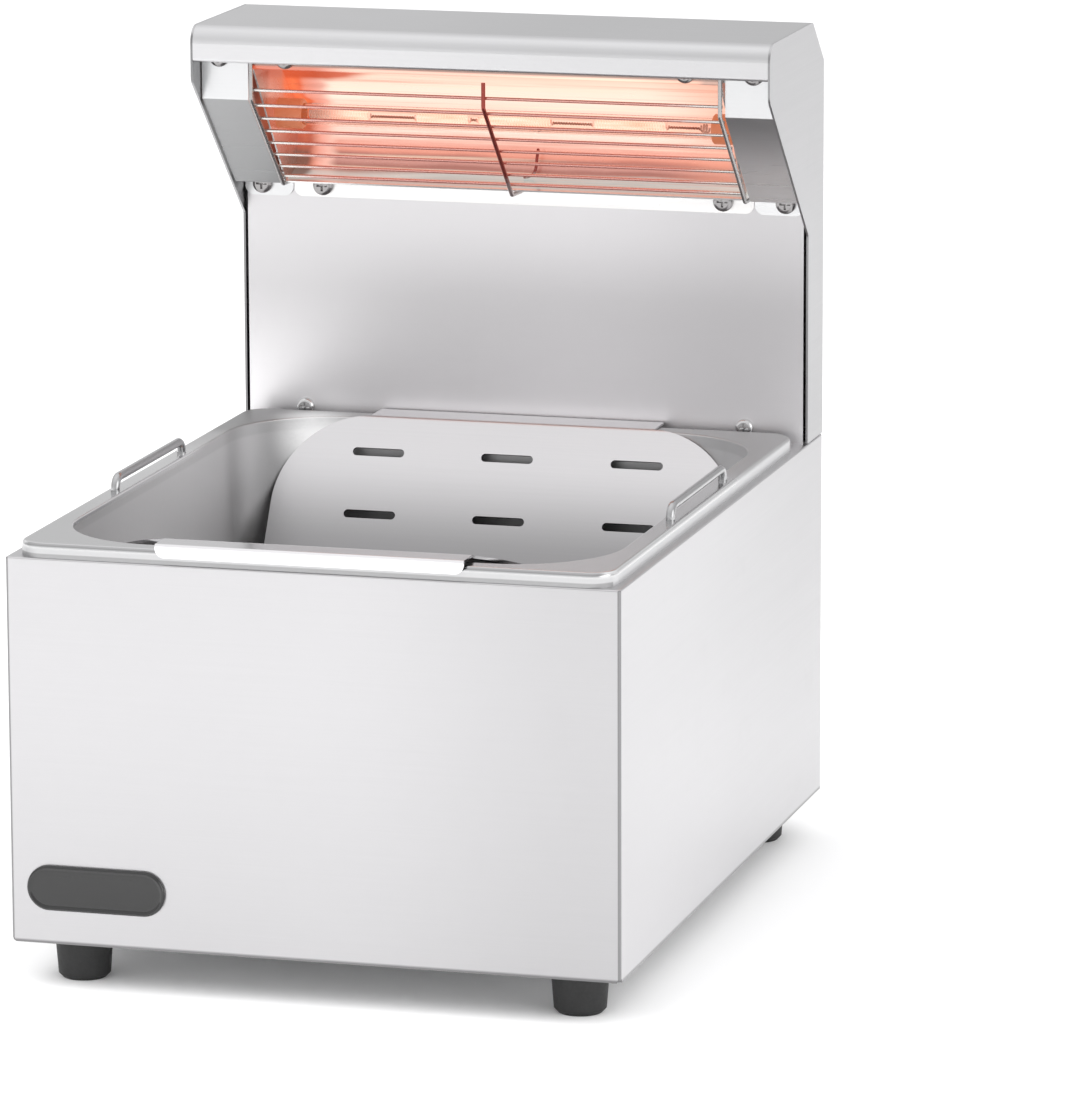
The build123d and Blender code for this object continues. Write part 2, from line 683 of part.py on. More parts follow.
with BuildPart() as rocker_frame:
    with BuildSketch(at_y(depth)):
        with Locations((switch_x, switch_z)):
            RectangleRounded(25, 31, 2)
    extrude(amount=-2)
    fillet(rocker_frame.faces().sort_by(Axis.Y)[-1].edges(), radius=0.8)
    with BuildSketch(at_y(depth)):
        with Locations((switch_x, switch_z)):
            Rectangle(21.6, 27.8)
    extrude(amount=20)
    with BuildSketch(at_y(depth + 2)):
        with Locations((switch_x, switch_z)):
            Rectangle(18.0, 22.8)
    extrude(amount=12, mode=Mode.SUBTRACT)
    # Pivot holes in the two side walls.
    with BuildSketch(at_x(switch_x - 10.1)):
        with Locations((pivot_y, switch_z)):
            Circle(1.55)
    extrude(amount=20.2, mode=Mode.SUBTRACT)
rocker_frame.part.label = "rocker_frame"

with BuildPart() as rocker:
    # Rocker resting with its upper half pressed in; two finger faces meet over the pivot.
    with BuildSketch(at_x(switch_x - 8.7)):
        with Locations((pivot_y, switch_z)):
            Circle(11.1)
        # Cut away everything outside the two finger faces.
        c, s = cos(radians(rocker_tilt)), sin(radians(rocker_tilt))
        pts = []
        for u, v in ((4.5, 0), (6.9, 15), (20, 15), (20, -15), (6.9, -15), (4.5, 0)):
            pts.append((pivot_y + u * c - v * s, switch_z + u * s + v * c))
        with BuildLine():
            Polyline(*pts)
        make_face(mode=Mode.SUBTRACT)
        # Flat inner side.
        pts = []
        for u, v in ((-5.5, -15), (-20, -15), (-20, 15), (-5.5, 15), (-5.5, -15)):
            pts.append((pivot_y + u * c - v * s, switch_z + u * s + v * c))
        with BuildLine():
            Polyline(*pts)
        make_face(mode=Mode.SUBTRACT)
    extrude(amount=17.4)
    with BuildSketch(at_x(switch_x - 9.8)):
        with Locations((pivot_y, switch_z)):
            Circle(1.5)
    extrude(amount=19.6)
rocker.part.label = "rocker"

with BuildPart() as switch_terminals:
    with BuildSketch(at_y(depth - 20)):
        with Locations((switch_x, switch_z - 7), (switch_x, switch_z + 7)):
            Rectangle(6.3, 0.8)
    extrude(amount=9)
switch_terminals.part.label = "switch_terminals"

with BuildPart() as cable_gland:
    # Threaded body with a hexagon flange against the rear panel.
    with BuildSketch(at_y(depth)):
        with Locations((gland_x, gland_z)):
            RegularPolygon(radius=10.5, side_count=6, major_radius=False)
    extrude(amount=-6)
    with BuildSketch(at_y(depth)):
        with Locations((gland_x, gland_z)):
            Circle(8.0)
    extrude(amount=10)
    with BuildSketch(at_y(depth + 7)):
        with Locations((gland_x, gland_z)):
            Circle(4.2)
    extrude(amount=20, mode=Mode.SUBTRACT)
    chamfer(cable_gland.faces().sort_by(Axis.Y)[-1].outer_wire().edges(), length=0.6)
cable_gland.part.label = "cable_gland"

with BuildPart() as gland_cap:
    # Domed clamping cap.
    with BuildSketch(at_y(depth + 6)):
        with Locations((gland_x, gland_z)):
            RegularPolygon(radius=9.8, side_count=6, major_radius=False)
    extrude(amount=-(gland_out - 6))
    with BuildSketch(at_y(depth + 5)):
        with Locations((gland_x, gland_z)):
            Circle(4.2)
    extrude(amount=-20, mode=Mode.SUBTRACT)
    fillet(gland_cap.faces().sort_by(Axis.Y)[-1].outer_wire().edges(), radius=2.4)
gland_cap.part.label = "gland_cap"

with BuildPart() as gland_locknut:
    with BuildSketch(at_y(depth - sheet)):
        with Locations((gland_x, gland_z)):
            RegularPolygon(radius=11.0, side_count=6, major_radius=False)
            Circle(8.03, mode=Mode.SUBTRACT)
    extrude(amount=4.5)
gland_locknut.part.label = "gland_locknut"

earth_x = gland_x - 38
with BuildPart() as earth_stud:
    with BuildSketch(at_y(depth)):
        with Locations((earth_x, gland_z)):
            RegularPolygon(radius=4.0, side_count=6, major_radius=False)
    extrude(amount=-3.5)
    with BuildSketch(at_y(depth + 2)):
        with Locations((earth_x, gland_z)):
            Circle(2.5)
    extrude(amount=16)
earth_stud.part.label = "earth_stud"

with BuildPart() as earth_nut:
    with BuildSketch(at_y(depth - sheet)):
        with Locations((earth_x, gland_z)):
            Circle(5.0)
            Circle(2.53, mode=Mode.SUBTRACT)
    extrude(amount=1.0)
    with BuildSketch(at_y(depth - sheet - 1.0)):
        with Locations((earth_x, gland_z)):
            RegularPolygon(radius=4.0, side_count=6, major_radius=False)
            Circle(2.53, mode=Mode.SUBTRACT)
    extrude(amount=3.5)
earth_nut.part.label = "earth_nut"

block_x, block_y = 20.0, 338.0
with BuildPart() as terminal_block:
    # Three-way ceramic block on the base plate.
    with BuildSketch(at_z(2 * sheet)):
        with Locations((block_x, block_y)):
            RectangleRounded(44, 22, 2)
    extrude(amount=17)
    with BuildSketch(at_z(2 * sheet + 7)):
        with Locations((block_x, block_y)):
            with GridLocations(14, 0, 3, 1):
                Rectangle(8, 30)
    extrude(amount=6, mode=Mode.SUBTRACT)
    with BuildSketch(at_z(2 * sheet + 12)):
        with Locations((block_x, block_y)):
            with GridLocations(14, 12, 3, 2):
                Circle(2.2)
    extrude(amount=8, mode=Mode.SUBTRACT)
terminal_block.part.label = "terminal_block"

with BuildPart() as terminal_clamps:
    # Brass clamps, one in each way.
    with BuildSketch(at_z(2 * sheet + 7)):
        with Locations((block_x, block_y)):
            with GridLocations(14, 0, 3, 1):
                Rectangle(7.8, 20)
    extrude(amount=5.8)
    with BuildSketch(at_y(block_y + 12)):
        with Locations((block_x, 2 * sheet + 9.6)):
            with GridLocations(14, 0, 3, 1):
                Circle(1.65)
    extrude(amount=24, mode=Mode.SUBTRACT)
terminal_clamps.part.label = "terminal_clamps"

with BuildPart() as terminal_screws:
    with BuildSketch(at_z(2 * sheet + 13.0)):
        with Locations((block_x, block_y)):
            with GridLocations(14, 12, 3, 2):
                Circle(2.0)
    extrude(amount=3.2)
    with BuildSketch(at_z(2 * sheet + 15.2)):
        with Locations((block_x, block_y)):
            with GridLocations(14, 12, 3, 2):
                Rectangle(3.2, 0.7)
    extrude(amount=2, mode=Mode.SUBTRACT)
terminal_screws.part.label = "terminal_screws"

with BuildPart() as wire_grommet:
    # Rubber grommet where the heater leads leave the base.
    with BuildSketch(Plane(origin=(60, front_y + 352, floor_z), x_dir=(1, 0, 0), z_dir=(0, -1, 0))):
        with BuildLine():
            Polyline((4.0, 167), (8.0, 167), (8.0, 168.95), (6.55, 168.95), (6.55, 170.05), (8.0, 170.05),
                     (8.0, 172), (4.0, 172), (4.0, 167))
        make_face()
    revolve(axis=Axis((60, front_y + 352, 0), (0, 0, 1)))
wire_grommet.part.label = "wire_grommet"

lead_d = 2.4


def lead_route(points, radius):
    """Route of one lead in the part's frame, given as x, depth and height."""
    return [(x, front_y + y, floor_z + z) for x, y, z in points], radius


with BuildPart() as lead_supply:
    # From the terminal block up to the lower tab of the switch.
    pts, r = lead_route([(block_x + 14, 344, 11.6), (block_x + 14, 356, 11.6), (60, 356, 30), (74, 338, 70),
                         (switch_x, 326, switch_z - 7), (switch_x, 333, switch_z - 7)], 4.0)
    with BuildLine() as supply_line:
        FilletPolyline(*pts, radius=[3.0, 9.0, 12.0, 3.2])
    with BuildSketch(Plane(origin=supply_line.line @ 0, z_dir=supply_line.line % 0)):
        Circle(lead_d / 2)
    sweep(path=supply_line.line)
lead_supply.part.label = "lead_supply"

with BuildPart() as lead_switched:
    # From the upper tab of the switch through the grommet to the right-hand tube end.
    pts, r = lead_route([(switch_x, 333, switch_z + 7), (switch_x, 327, switch_z + 7), (76, 330, 146),
                         (62, 352, 158), (62, 352, 250), (92, 352, 318), (124, 345, tube_z + 1),
                         (124, 308.4, tube_z)], 4.0)
    with BuildLine() as switched_line:
        FilletPolyline(*pts, radius=[2.6, 9.0, 7.0, 30.0, 14.0, 6.0])
    with BuildSketch(Plane(origin=switched_line.line @ 0, z_dir=switched_line.line % 0)):
        Circle(lead_d / 2)
    sweep(path=switched_line.line)
lead_switched.part.label = "lead_switched"

with BuildPart() as lead_neutral:
    # From the terminal block through the grommet to the left-hand tube end.
    pts, r = lead_route([(block_x, 344, 11.6), (block_x, 355, 11.6), (30, 355, 60), (52, 354, 130),
                         (58, 352, 158), (58, 352, 240), (20, 352, 318), (-80, 352, 326),
                         (-124, 344, tube_z + 1), (-124, 308.4, tube_z)], 4.0)
    with BuildLine() as neutral_line:
        FilletPolyline(*pts, radius=[2.6, 20.0, 30.0, 12.0, 30.0, 30.0, 14.0, 6.0])
    with BuildSketch(Plane(origin=neutral_line.line @ 0, z_dir=neutral_line.line % 0)):
        Circle(lead_d / 2)
    sweep(path=neutral_line.line)
lead_neutral.part.label = "lead_neutral"

with BuildPart() as lead_earth:
    # From the terminal block to the earth stud on the rear panel.
    pts, r = lead_route([(block_x - 14, 344, 11.6), (block_x - 14, 355, 11.6), (10, 355, 26), (30, 350, 40),
                         (45.4, 352.5, 40)], 4.0)
    with BuildLine() as earth_line:
        FilletPolyline(*pts, radius=[2.6, 9.0, 4.0])
    with BuildSketch(Plane(origin=earth_line.line @ 0, z_dir=earth_line.line % 0)):
        Circle(lead_d / 2)
    sweep(path=earth_line.line)
lead_earth.part.label = "lead_earth"

# ---------------------------------------------------------------------------
# Pan, its lifting handles and the drain plate
# ---------------------------------------------------------------------------
with BuildPart() as pan:
    # Rim with a turned-down edge.
    with BuildSketch(at_z(body_h)):
        with Locations((0, (pan_y0 + pan_y1) / 2)):
            RectangleRounded(2 * pan_x, pan_y1 - pan_y0, 12)
    extrude(amount=pan_top - body_h)
    fillet(pan.faces().sort_by(Axis.Z)[-1].edges(), radius=1.9)
    with BuildSketch(at_z(body_h)):
        with Locations((0, (pan_y0 + pan_y1) / 2)):
            RectangleRounded(2 * pan_x - 2 * sheet, pan_y1 - pan_y0 - 2 * sheet, 11)
    extrude(amount=pan_top - body_h - sheet, mode=Mode.SUBTRACT)
    # Bowl: drawn walls with a little draft and a large bottom radius.
    with BuildSketch(at_z(pan_top - 0.5)):
        with Locations((0, (bowl_y0 + bowl_y1) / 2)):
            RectangleRounded(2 * bowl_x + 2 * sheet, bowl_y1 - bowl_y0 + 2 * sheet, 48)
    bowl = extrude(amount=-(pan_depth - 0.5), taper=pan_draft)
    fillet(pan.edges().group_by(Axis.Z)[0], radius=19)
    with BuildSketch(at_z(pan_top)):
        with Locations((0, (bowl_y0 + bowl_y1) / 2)):
            RectangleRounded(2 * bowl_x, bowl_y1 - bowl_y0, 47)
    with BuildPart(mode=Mode.PRIVATE) as cavity:
        with BuildSketch(at_z(pan_top)):
            with Locations((0, (bowl_y0 + bowl_y1) / 2)):
                RectangleRounded(2 * bowl_x, bowl_y1 - bowl_y0, 47)
        extrude(amount=-(pan_depth - sheet), taper=pan_draft)
        fillet(cavity.edges().group_by(Axis.Z)[0], radius=18)
    add(cavity.part, mode=Mode.SUBTRACT)
    # Rolled inner edge of the rim.
    fillet(pan.faces().sort_by(Axis.Z)[-1].inner_wires()[0].edges(), radius=0.9)
    # Holes for the handle legs.
    with BuildSketch(at_z(pan_top - 3)):
        with Locations(*[(sx * handle_x, y) for sx in (-1, 1) for y in (handle_y0, handle_y1)]):
            Circle(handle_d / 2 + 0.1)
    extrude(amount=6, mode=Mode.SUBTRACT)
pan.part.label = "pan"

leg_end = 139.0
with BuildPart() as pan_handle_right:
    with BuildLine(at_x(handle_x)) as bail_line:
        FilletPolyline((handle_y0, leg_end), (handle_y0, 182), (handle_y1, 182), (handle_y1, leg_end), radius=5.0)
    with BuildSketch(Plane(origin=bail_line.line @ 0, z_dir=bail_line.line % 0)):
        Circle(handle_d / 2)
    sweep(path=bail_line.line)
pan_handle_right.part.label = "pan_handle_right"

with BuildPart() as pan_handle_left:
    mirror(objects=pan_handle_right.part, about=Plane.YZ)
pan_handle_left.part.label = "pan_handle_left"

with BuildPart() as handle_stops_right:
    # Sleeves crimped on the legs, which stop the handle at the top.
    with BuildSketch(at_z(139.5)):
        with Locations((handle_x, handle_y0), (handle_x, handle_y1)):
            Circle(3.3)
            Circle(2.0, mode=Mode.SUBTRACT)
    extrude(amount=4)
handle_stops_right.part.label = "handle_stops_right"

with BuildPart() as handle_stops_left:
    mirror(objects=handle_stops_right.part, about=Plane.YZ)
handle_stops_left.part.label = "handle_stops_left"

# Drain plate, folded from one sheet: front hook, ramp, floor, swept back, rear tab.
plate_floor = 88.0
ramp_y0, ramp_z0 = 13.0, 179.2
ramp_end = ramp_y0 + (ramp_z0 - plate_floor) / tan(radians(ramp))
back_y, back_z = 304.5, 162.0
back_tan = (162.0 - 135.5) / (304.5 - 289.0)
back_foot = back_y - (back_z - plate_floor) / back_tan
tab_z = 177.7
back_head = back_y + (tab_z - back_z) / back_tan

with BuildPart() as drain_plate:
    # Full-width trough.
    with BuildSketch(at_x(-plate_x)):
        with BuildLine():
            FilletPolyline((-0.8, 173.2), (-0.8, ramp_z0), (ramp_y0, ramp_z0), (ramp_end, plate_floor),
                           (back_foot, plate_floor), (back_head, tab_z), (331, tab_z),
                           radius=[1.2, 6.0, 12.0, 60.0, 3.0])
            offset(amount=sheet, side=Side.RIGHT)
        make_face()
    extrude(amount=2 * plate_x)
    # Only the tabs reach over the pan's rim; the front corners are rounded.
    with BuildSketch(at_z(plate_floor - 10)):
        with Locations((0, 14 - 20)):
            Rectangle(2 * plate_x + 4, 40)
        with Locations((0, 7)):
            Rectangle(2 * hook_x, 30, mode=Mode.SUBTRACT)
        for sx in (-1, 1):
            with BuildLine():
                Line((sx * (plate_x + 0.1), 13.9), (sx * (plate_x + 0.1), 14 + 48))
                Line((sx * (plate_x + 0.1), 14 + 48), (sx * plate_x, 14 + 48))
                RadiusArc((sx * plate_x, 14 + 48), (sx * (plate_x - 48), 14), sx * 48)
                Line((sx * (plate_x - 48), 14), (sx * (plate_x - 48), 13.9))
                Line((sx * (plate_x - 48), 13.9), (sx * (plate_x + 0.1), 13.9))
            make_face()
        with Locations((0, 7)):
            Rectangle(2 * hook_x, 15.5, mode=Mode.SUBTRACT)
    extrude(amount=120, mode=Mode.SUBTRACT)
    # Rear tab and the rounded upper corners of the swept back.
    with BuildSketch(at_z(150)):
        for sx in (-1, 1):
            with Locations((sx * (hook_x + 25), 330)):
                Rectangle(50, 30)
    back_plane = Plane(origin=(0, front_y + back_head, floor_z + tab_z), x_dir=(1, 0, 0),
                       z_dir=(0, -back_tan, 1))
    with BuildSketch(back_plane.offset(-14)):
        for sx in (-1, 1):
            with BuildLine():
                Line((sx * (plate_x + 1), 30), (sx * (plate_x + 1), -45))
                Line((sx * (plate_x + 1), -45), (sx * plate_x, -45))
                RadiusArc((sx * plate_x, -45), (sx * (plate_x - 45), 0), sx * -45)
                Line((sx * (plate_x - 45), 0), (sx * hook_x, 0))
                Line((sx * hook_x, 0), (sx * hook_x, 30))
                Line((sx * hook_x, 30), (sx * (plate_x + 1), 30))
            make_face()
    extrude(amount=28, mode=Mode.SUBTRACT)
    # Rounded drain slots in three columns, spaced evenly along the folded sheet.
    swing = atan(back_tan)
    arc_t = 60 * tan(swing / 2)
    straight = (back_z - plate_floor - arc_t * sin(swing)) / sin(swing)
    arc_len = 60 * swing
    rows = []
    for n in range(11):
        run = n * slot_pitch
        if run < straight:
            rows.append((back_y - run * cos(swing), back_z - run * sin(swing), swing))
        elif run < straight + arc_len:
            turn = swing - (run - straight) / 60
            rows.append((back_foot - arc_t + 60 * sin(turn), plate_floor + 60 - 60 * cos(turn), turn))
        elif run < straight + arc_len + (back_foot - arc_t - ramp_end):
            rows.append((back_foot - arc_t - (run - straight - arc_len), plate_floor, 0.0))
        else:
            up = run - straight - arc_len - (back_foot - arc_t - ramp_end)
            rows.append((ramp_end - up * cos(radians(ramp)), plate_floor + up * sin(radians(ramp)), -radians(ramp)))
    for y, z, lean in rows:
        with BuildSketch(Plane(origin=(0, front_y + y, floor_z + z), x_dir=(1, 0, 0), z_dir=(0, -sin(lean), cos(lean)))):
            with Locations((-slot_x, 0), (0, 0), (slot_x, 0)):
                SlotOverall(slot_len, slot_w)
        extrude(amount=3, both=True, mode=Mode.SUBTRACT)
    # Rounded lower corners of the front hook.
    lip = drain_plate.edges().filter_by(Axis.Y).group_by(Axis.Y)[0].group_by(Axis.Z)[0]
    fillet(lip, radius=4.2)
    # The rear tab's edge is dressed round, because the plate tips up on it.
    tab_edge = drain_plate.edges().filter_by(Axis.X).group_by(Axis.Y)[-1]
    fillet(tab_edge, radius=sheet / 2 - 0.005)
drain_plate.part.label = "drain_plate"

for piece in (housing_wrap, base_plate, rear_panel, rear_deck, foot_front_left, foot_front_right, foot_rear_left,
              foot_rear_right, foot_screws, foot_nuts, base_screws, rear_panel_screws, badge, tower_side_right,
              tower_side_left, hood_cover, tower_back_cover, back_cover_screws, tower_screws, splash_panel,
              splash_angle, splash_screws, splash_nuts, heater_rail, heater_bracket_right, heater_bracket_left,
              reflector, heater_tube, heater_filament, tube_caps, tube_terminals, guard_frame, guard_stay,
              guard_bars, heater_screws_upper, heater_nuts_upper, heater_screws_lower, heater_nuts_lower,
              rocker_frame, rocker, switch_terminals, cable_gland, gland_cap, gland_locknut, earth_stud, earth_nut,
              terminal_block, terminal_clamps, terminal_screws, wire_grommet, lead_supply, lead_switched,
              lead_neutral, lead_earth, pan, pan_handle_right, pan_handle_left, handle_stops_right,
              handle_stops_left, drain_plate):
    export_step(piece.part, f"parts/{piece.part.label}.step")
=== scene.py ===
import bpy, bmesh, math
from mathutils import Vector, Matrix


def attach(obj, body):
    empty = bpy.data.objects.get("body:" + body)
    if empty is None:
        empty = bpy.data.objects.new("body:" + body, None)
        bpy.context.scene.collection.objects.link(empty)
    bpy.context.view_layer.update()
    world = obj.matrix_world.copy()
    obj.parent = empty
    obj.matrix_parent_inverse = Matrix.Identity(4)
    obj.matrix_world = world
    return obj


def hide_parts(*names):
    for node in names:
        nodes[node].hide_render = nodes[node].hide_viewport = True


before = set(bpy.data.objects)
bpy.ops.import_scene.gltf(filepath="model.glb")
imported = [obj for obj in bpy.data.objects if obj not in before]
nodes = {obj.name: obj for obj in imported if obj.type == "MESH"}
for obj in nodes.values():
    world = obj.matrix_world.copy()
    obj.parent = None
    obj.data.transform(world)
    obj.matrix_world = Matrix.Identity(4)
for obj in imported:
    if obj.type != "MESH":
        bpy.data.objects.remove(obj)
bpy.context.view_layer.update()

# Housing datum in the shared frame: front face, lower edge (metres).
FY, FZ = -0.188, 0.020


def P(x, y, z):
    """A point given as x, depth behind the front face and height above the housing's lower edge, in mm."""
    return Vector((x / 1000.0, FY + y / 1000.0, FZ + z / 1000.0))


# ---------------------------------------------------------------------------
# Camera
# ---------------------------------------------------------------------------
cam_data = bpy.data.cameras.new("camera")
cam_data.sensor_fit = "AUTO"
cam_data.sensor_width = 36.0
cam_data.lens = 228.6
cam_data.clip_start = 0.05
cam_data.clip_end = 100.0
cam = bpy.data.objects.new("camera", cam_data)
bpy.context.scene.collection.objects.link(cam)
cx = (0.96264632, 0.27074278, -0.00322523)
cy = (-0.05235585, 0.19781561, 0.97884005)
cz = (0.26565188, -0.94210792, 0.20460144)
cam.matrix_world = Matrix((
    (cx[0], cy[0], cz[0], 0.885158),
    (cx[1], cy[1], cz[1], -2.966666),
    (cx[2], cy[2], cz[2], 0.807074),
    (0, 0, 0, 1)))
bpy.context.scene.camera = cam
bpy.context.scene.view_settings.view_transform = "Standard"
bpy.context.scene.view_settings.look = "None"


# ---------------------------------------------------------------------------
# Material helpers
# ---------------------------------------------------------------------------
class Nodes:
    """Small helper that adds and links shader nodes."""

    def __init__(self, name):
        self.mat = bpy.data.materials.new(name)
        self.mat.use_nodes = True
        self.t = self.mat.node_tree
        self.t.nodes.clear()
        self.out = self.t.nodes.new("ShaderNodeOutputMaterial")
        self.bsdf = self.t.nodes.new("ShaderNodeBsdfPrincipled")
        self.t.links.new(self.bsdf.outputs[0], self.out.inputs["Surface"])

    def set(self, **kw):
        for k, v in kw.items():
            self.bsdf.inputs[k.replace("_", " ")].default_value = v

    def new(self, kind, **kw):
        n = self.t.nodes.new(kind)
        for k, v in kw.items():
            setattr(n, k, v)
        return n

    def link(self, a, b):
        self.t.links.new(a, b)

    def val(self, x, socket):
        if hasattr(x, "links") or isinstance(x, bpy.types.NodeSocket):
            self.link(x, socket)
        else:
            socket.default_value = x

    def coords(self):
        if not hasattr(self, "_tc"):
            self._tc = self.new("ShaderNodeTexCoord")
        return self._tc.outputs["Object"]

    def noise(self, scale=(1, 1, 1), size=1.0, detail=2.0, rough=0.5, offset=(0, 0, 0), distortion=0.0):
        m = self.new("ShaderNodeMapping")
        m.inputs["Scale"].default_value = scale
        m.inputs["Location"].default_value = offset
        self.link(self.coords(), m.inputs["Vector"])
        n = self.new("ShaderNodeTexNoise")
        n.inputs["Scale"].default_value = size
        n.inputs["Detail"].default_value = detail
        n.inputs["Roughness"].default_value = rough
        n.inputs["Distortion"].default_value = distortion
        self.link(m.outputs[0], n.inputs["Vector"])
        return n.outputs["Fac"]

    def rng(self, x, lo, hi, a, b, smooth=False):
        n = self.new("ShaderNodeMapRange")
        if smooth:
            n.interpolation_type = "SMOOTHSTEP"
        self.val(x, n.inputs["Value"])
        n.inputs["From Min"].default_value = lo
        n.inputs["From Max"].default_value = hi
        n.inputs["To Min"].default_value = a
        n.inputs["To Max"].default_value = b
        return n.outputs["Result"]

    def math(self, op, a, b=None, c=None):
        n = self.new("ShaderNodeMath", operation=op)
        self.val(a, n.inputs[0])
        if b is not None:
            self.val(b, n.inputs[1])
        if c is not None:
            self.val(c, n.inputs[2])
        return n.outputs[0]

    def mix(self, fac, a, b):
        n = self.new("ShaderNodeMix", data_type="FLOAT")
        self.val(fac, n.inputs[0])
        self.val(a, n.inputs[2])
        self.val(b, n.inputs[3])
        return n.outputs[0]

    def mixcol(self, fac, a, b, blend="MIX"):
        n = self.new("ShaderNodeMix", data_type="RGBA", blend_type=blend)
        self.val(fac, n.inputs[0])
        self.val(a, n.inputs[6])
        self.val(b, n.inputs[7])
        return n.outputs[2]

    def ramp(self, x, stops, interp="LINEAR"):
        n = self.new("ShaderNodeValToRGB")
        r = n.color_ramp
        r.interpolation = interp
        while len(r.elements) > 1:
            r.elements.remove(r.elements[-1])
        r.elements[0].position = stops[0][0]
        r.elements[0].color = tuple(stops[0][1]) + (1,) if len(stops[0][1]) == 3 else stops[0][1]
        for p, c in stops[1:]:
            e = r.elements.new(p)
            e.color = tuple(c) + (1,) if len(c) == 3 else c
        self.link(x, n.inputs["Fac"])
        return n.outputs["Color"]

    def bump(self, height, strength, distance, prev=None):
        n = self.new("ShaderNodeBump")
        n.inputs["Strength"].default_value = strength
        n.inputs["Distance"].default_value = distance
        self.link(height, n.inputs["Height"])
        if prev is not None:
            self.link(prev, n.inputs["Normal"])
        return n.outputs["Normal"]

    def to(self, x, name):
        self.link(x, self.bsdf.inputs[name])

    def position(self):
        s = self.new("ShaderNodeSeparateXYZ")
        self.link(self.coords(), s.inputs[0])
        return s.outputs[0], s.outputs[1], s.outputs[2]

    def normal(self):
        g = self.new("ShaderNodeNewGeometry")
        s = self.new("ShaderNodeSeparateXYZ")
        self.link(g.outputs["Normal"], s.inputs[0])
        return s.outputs[0], s.outputs[1], s.outputs[2]


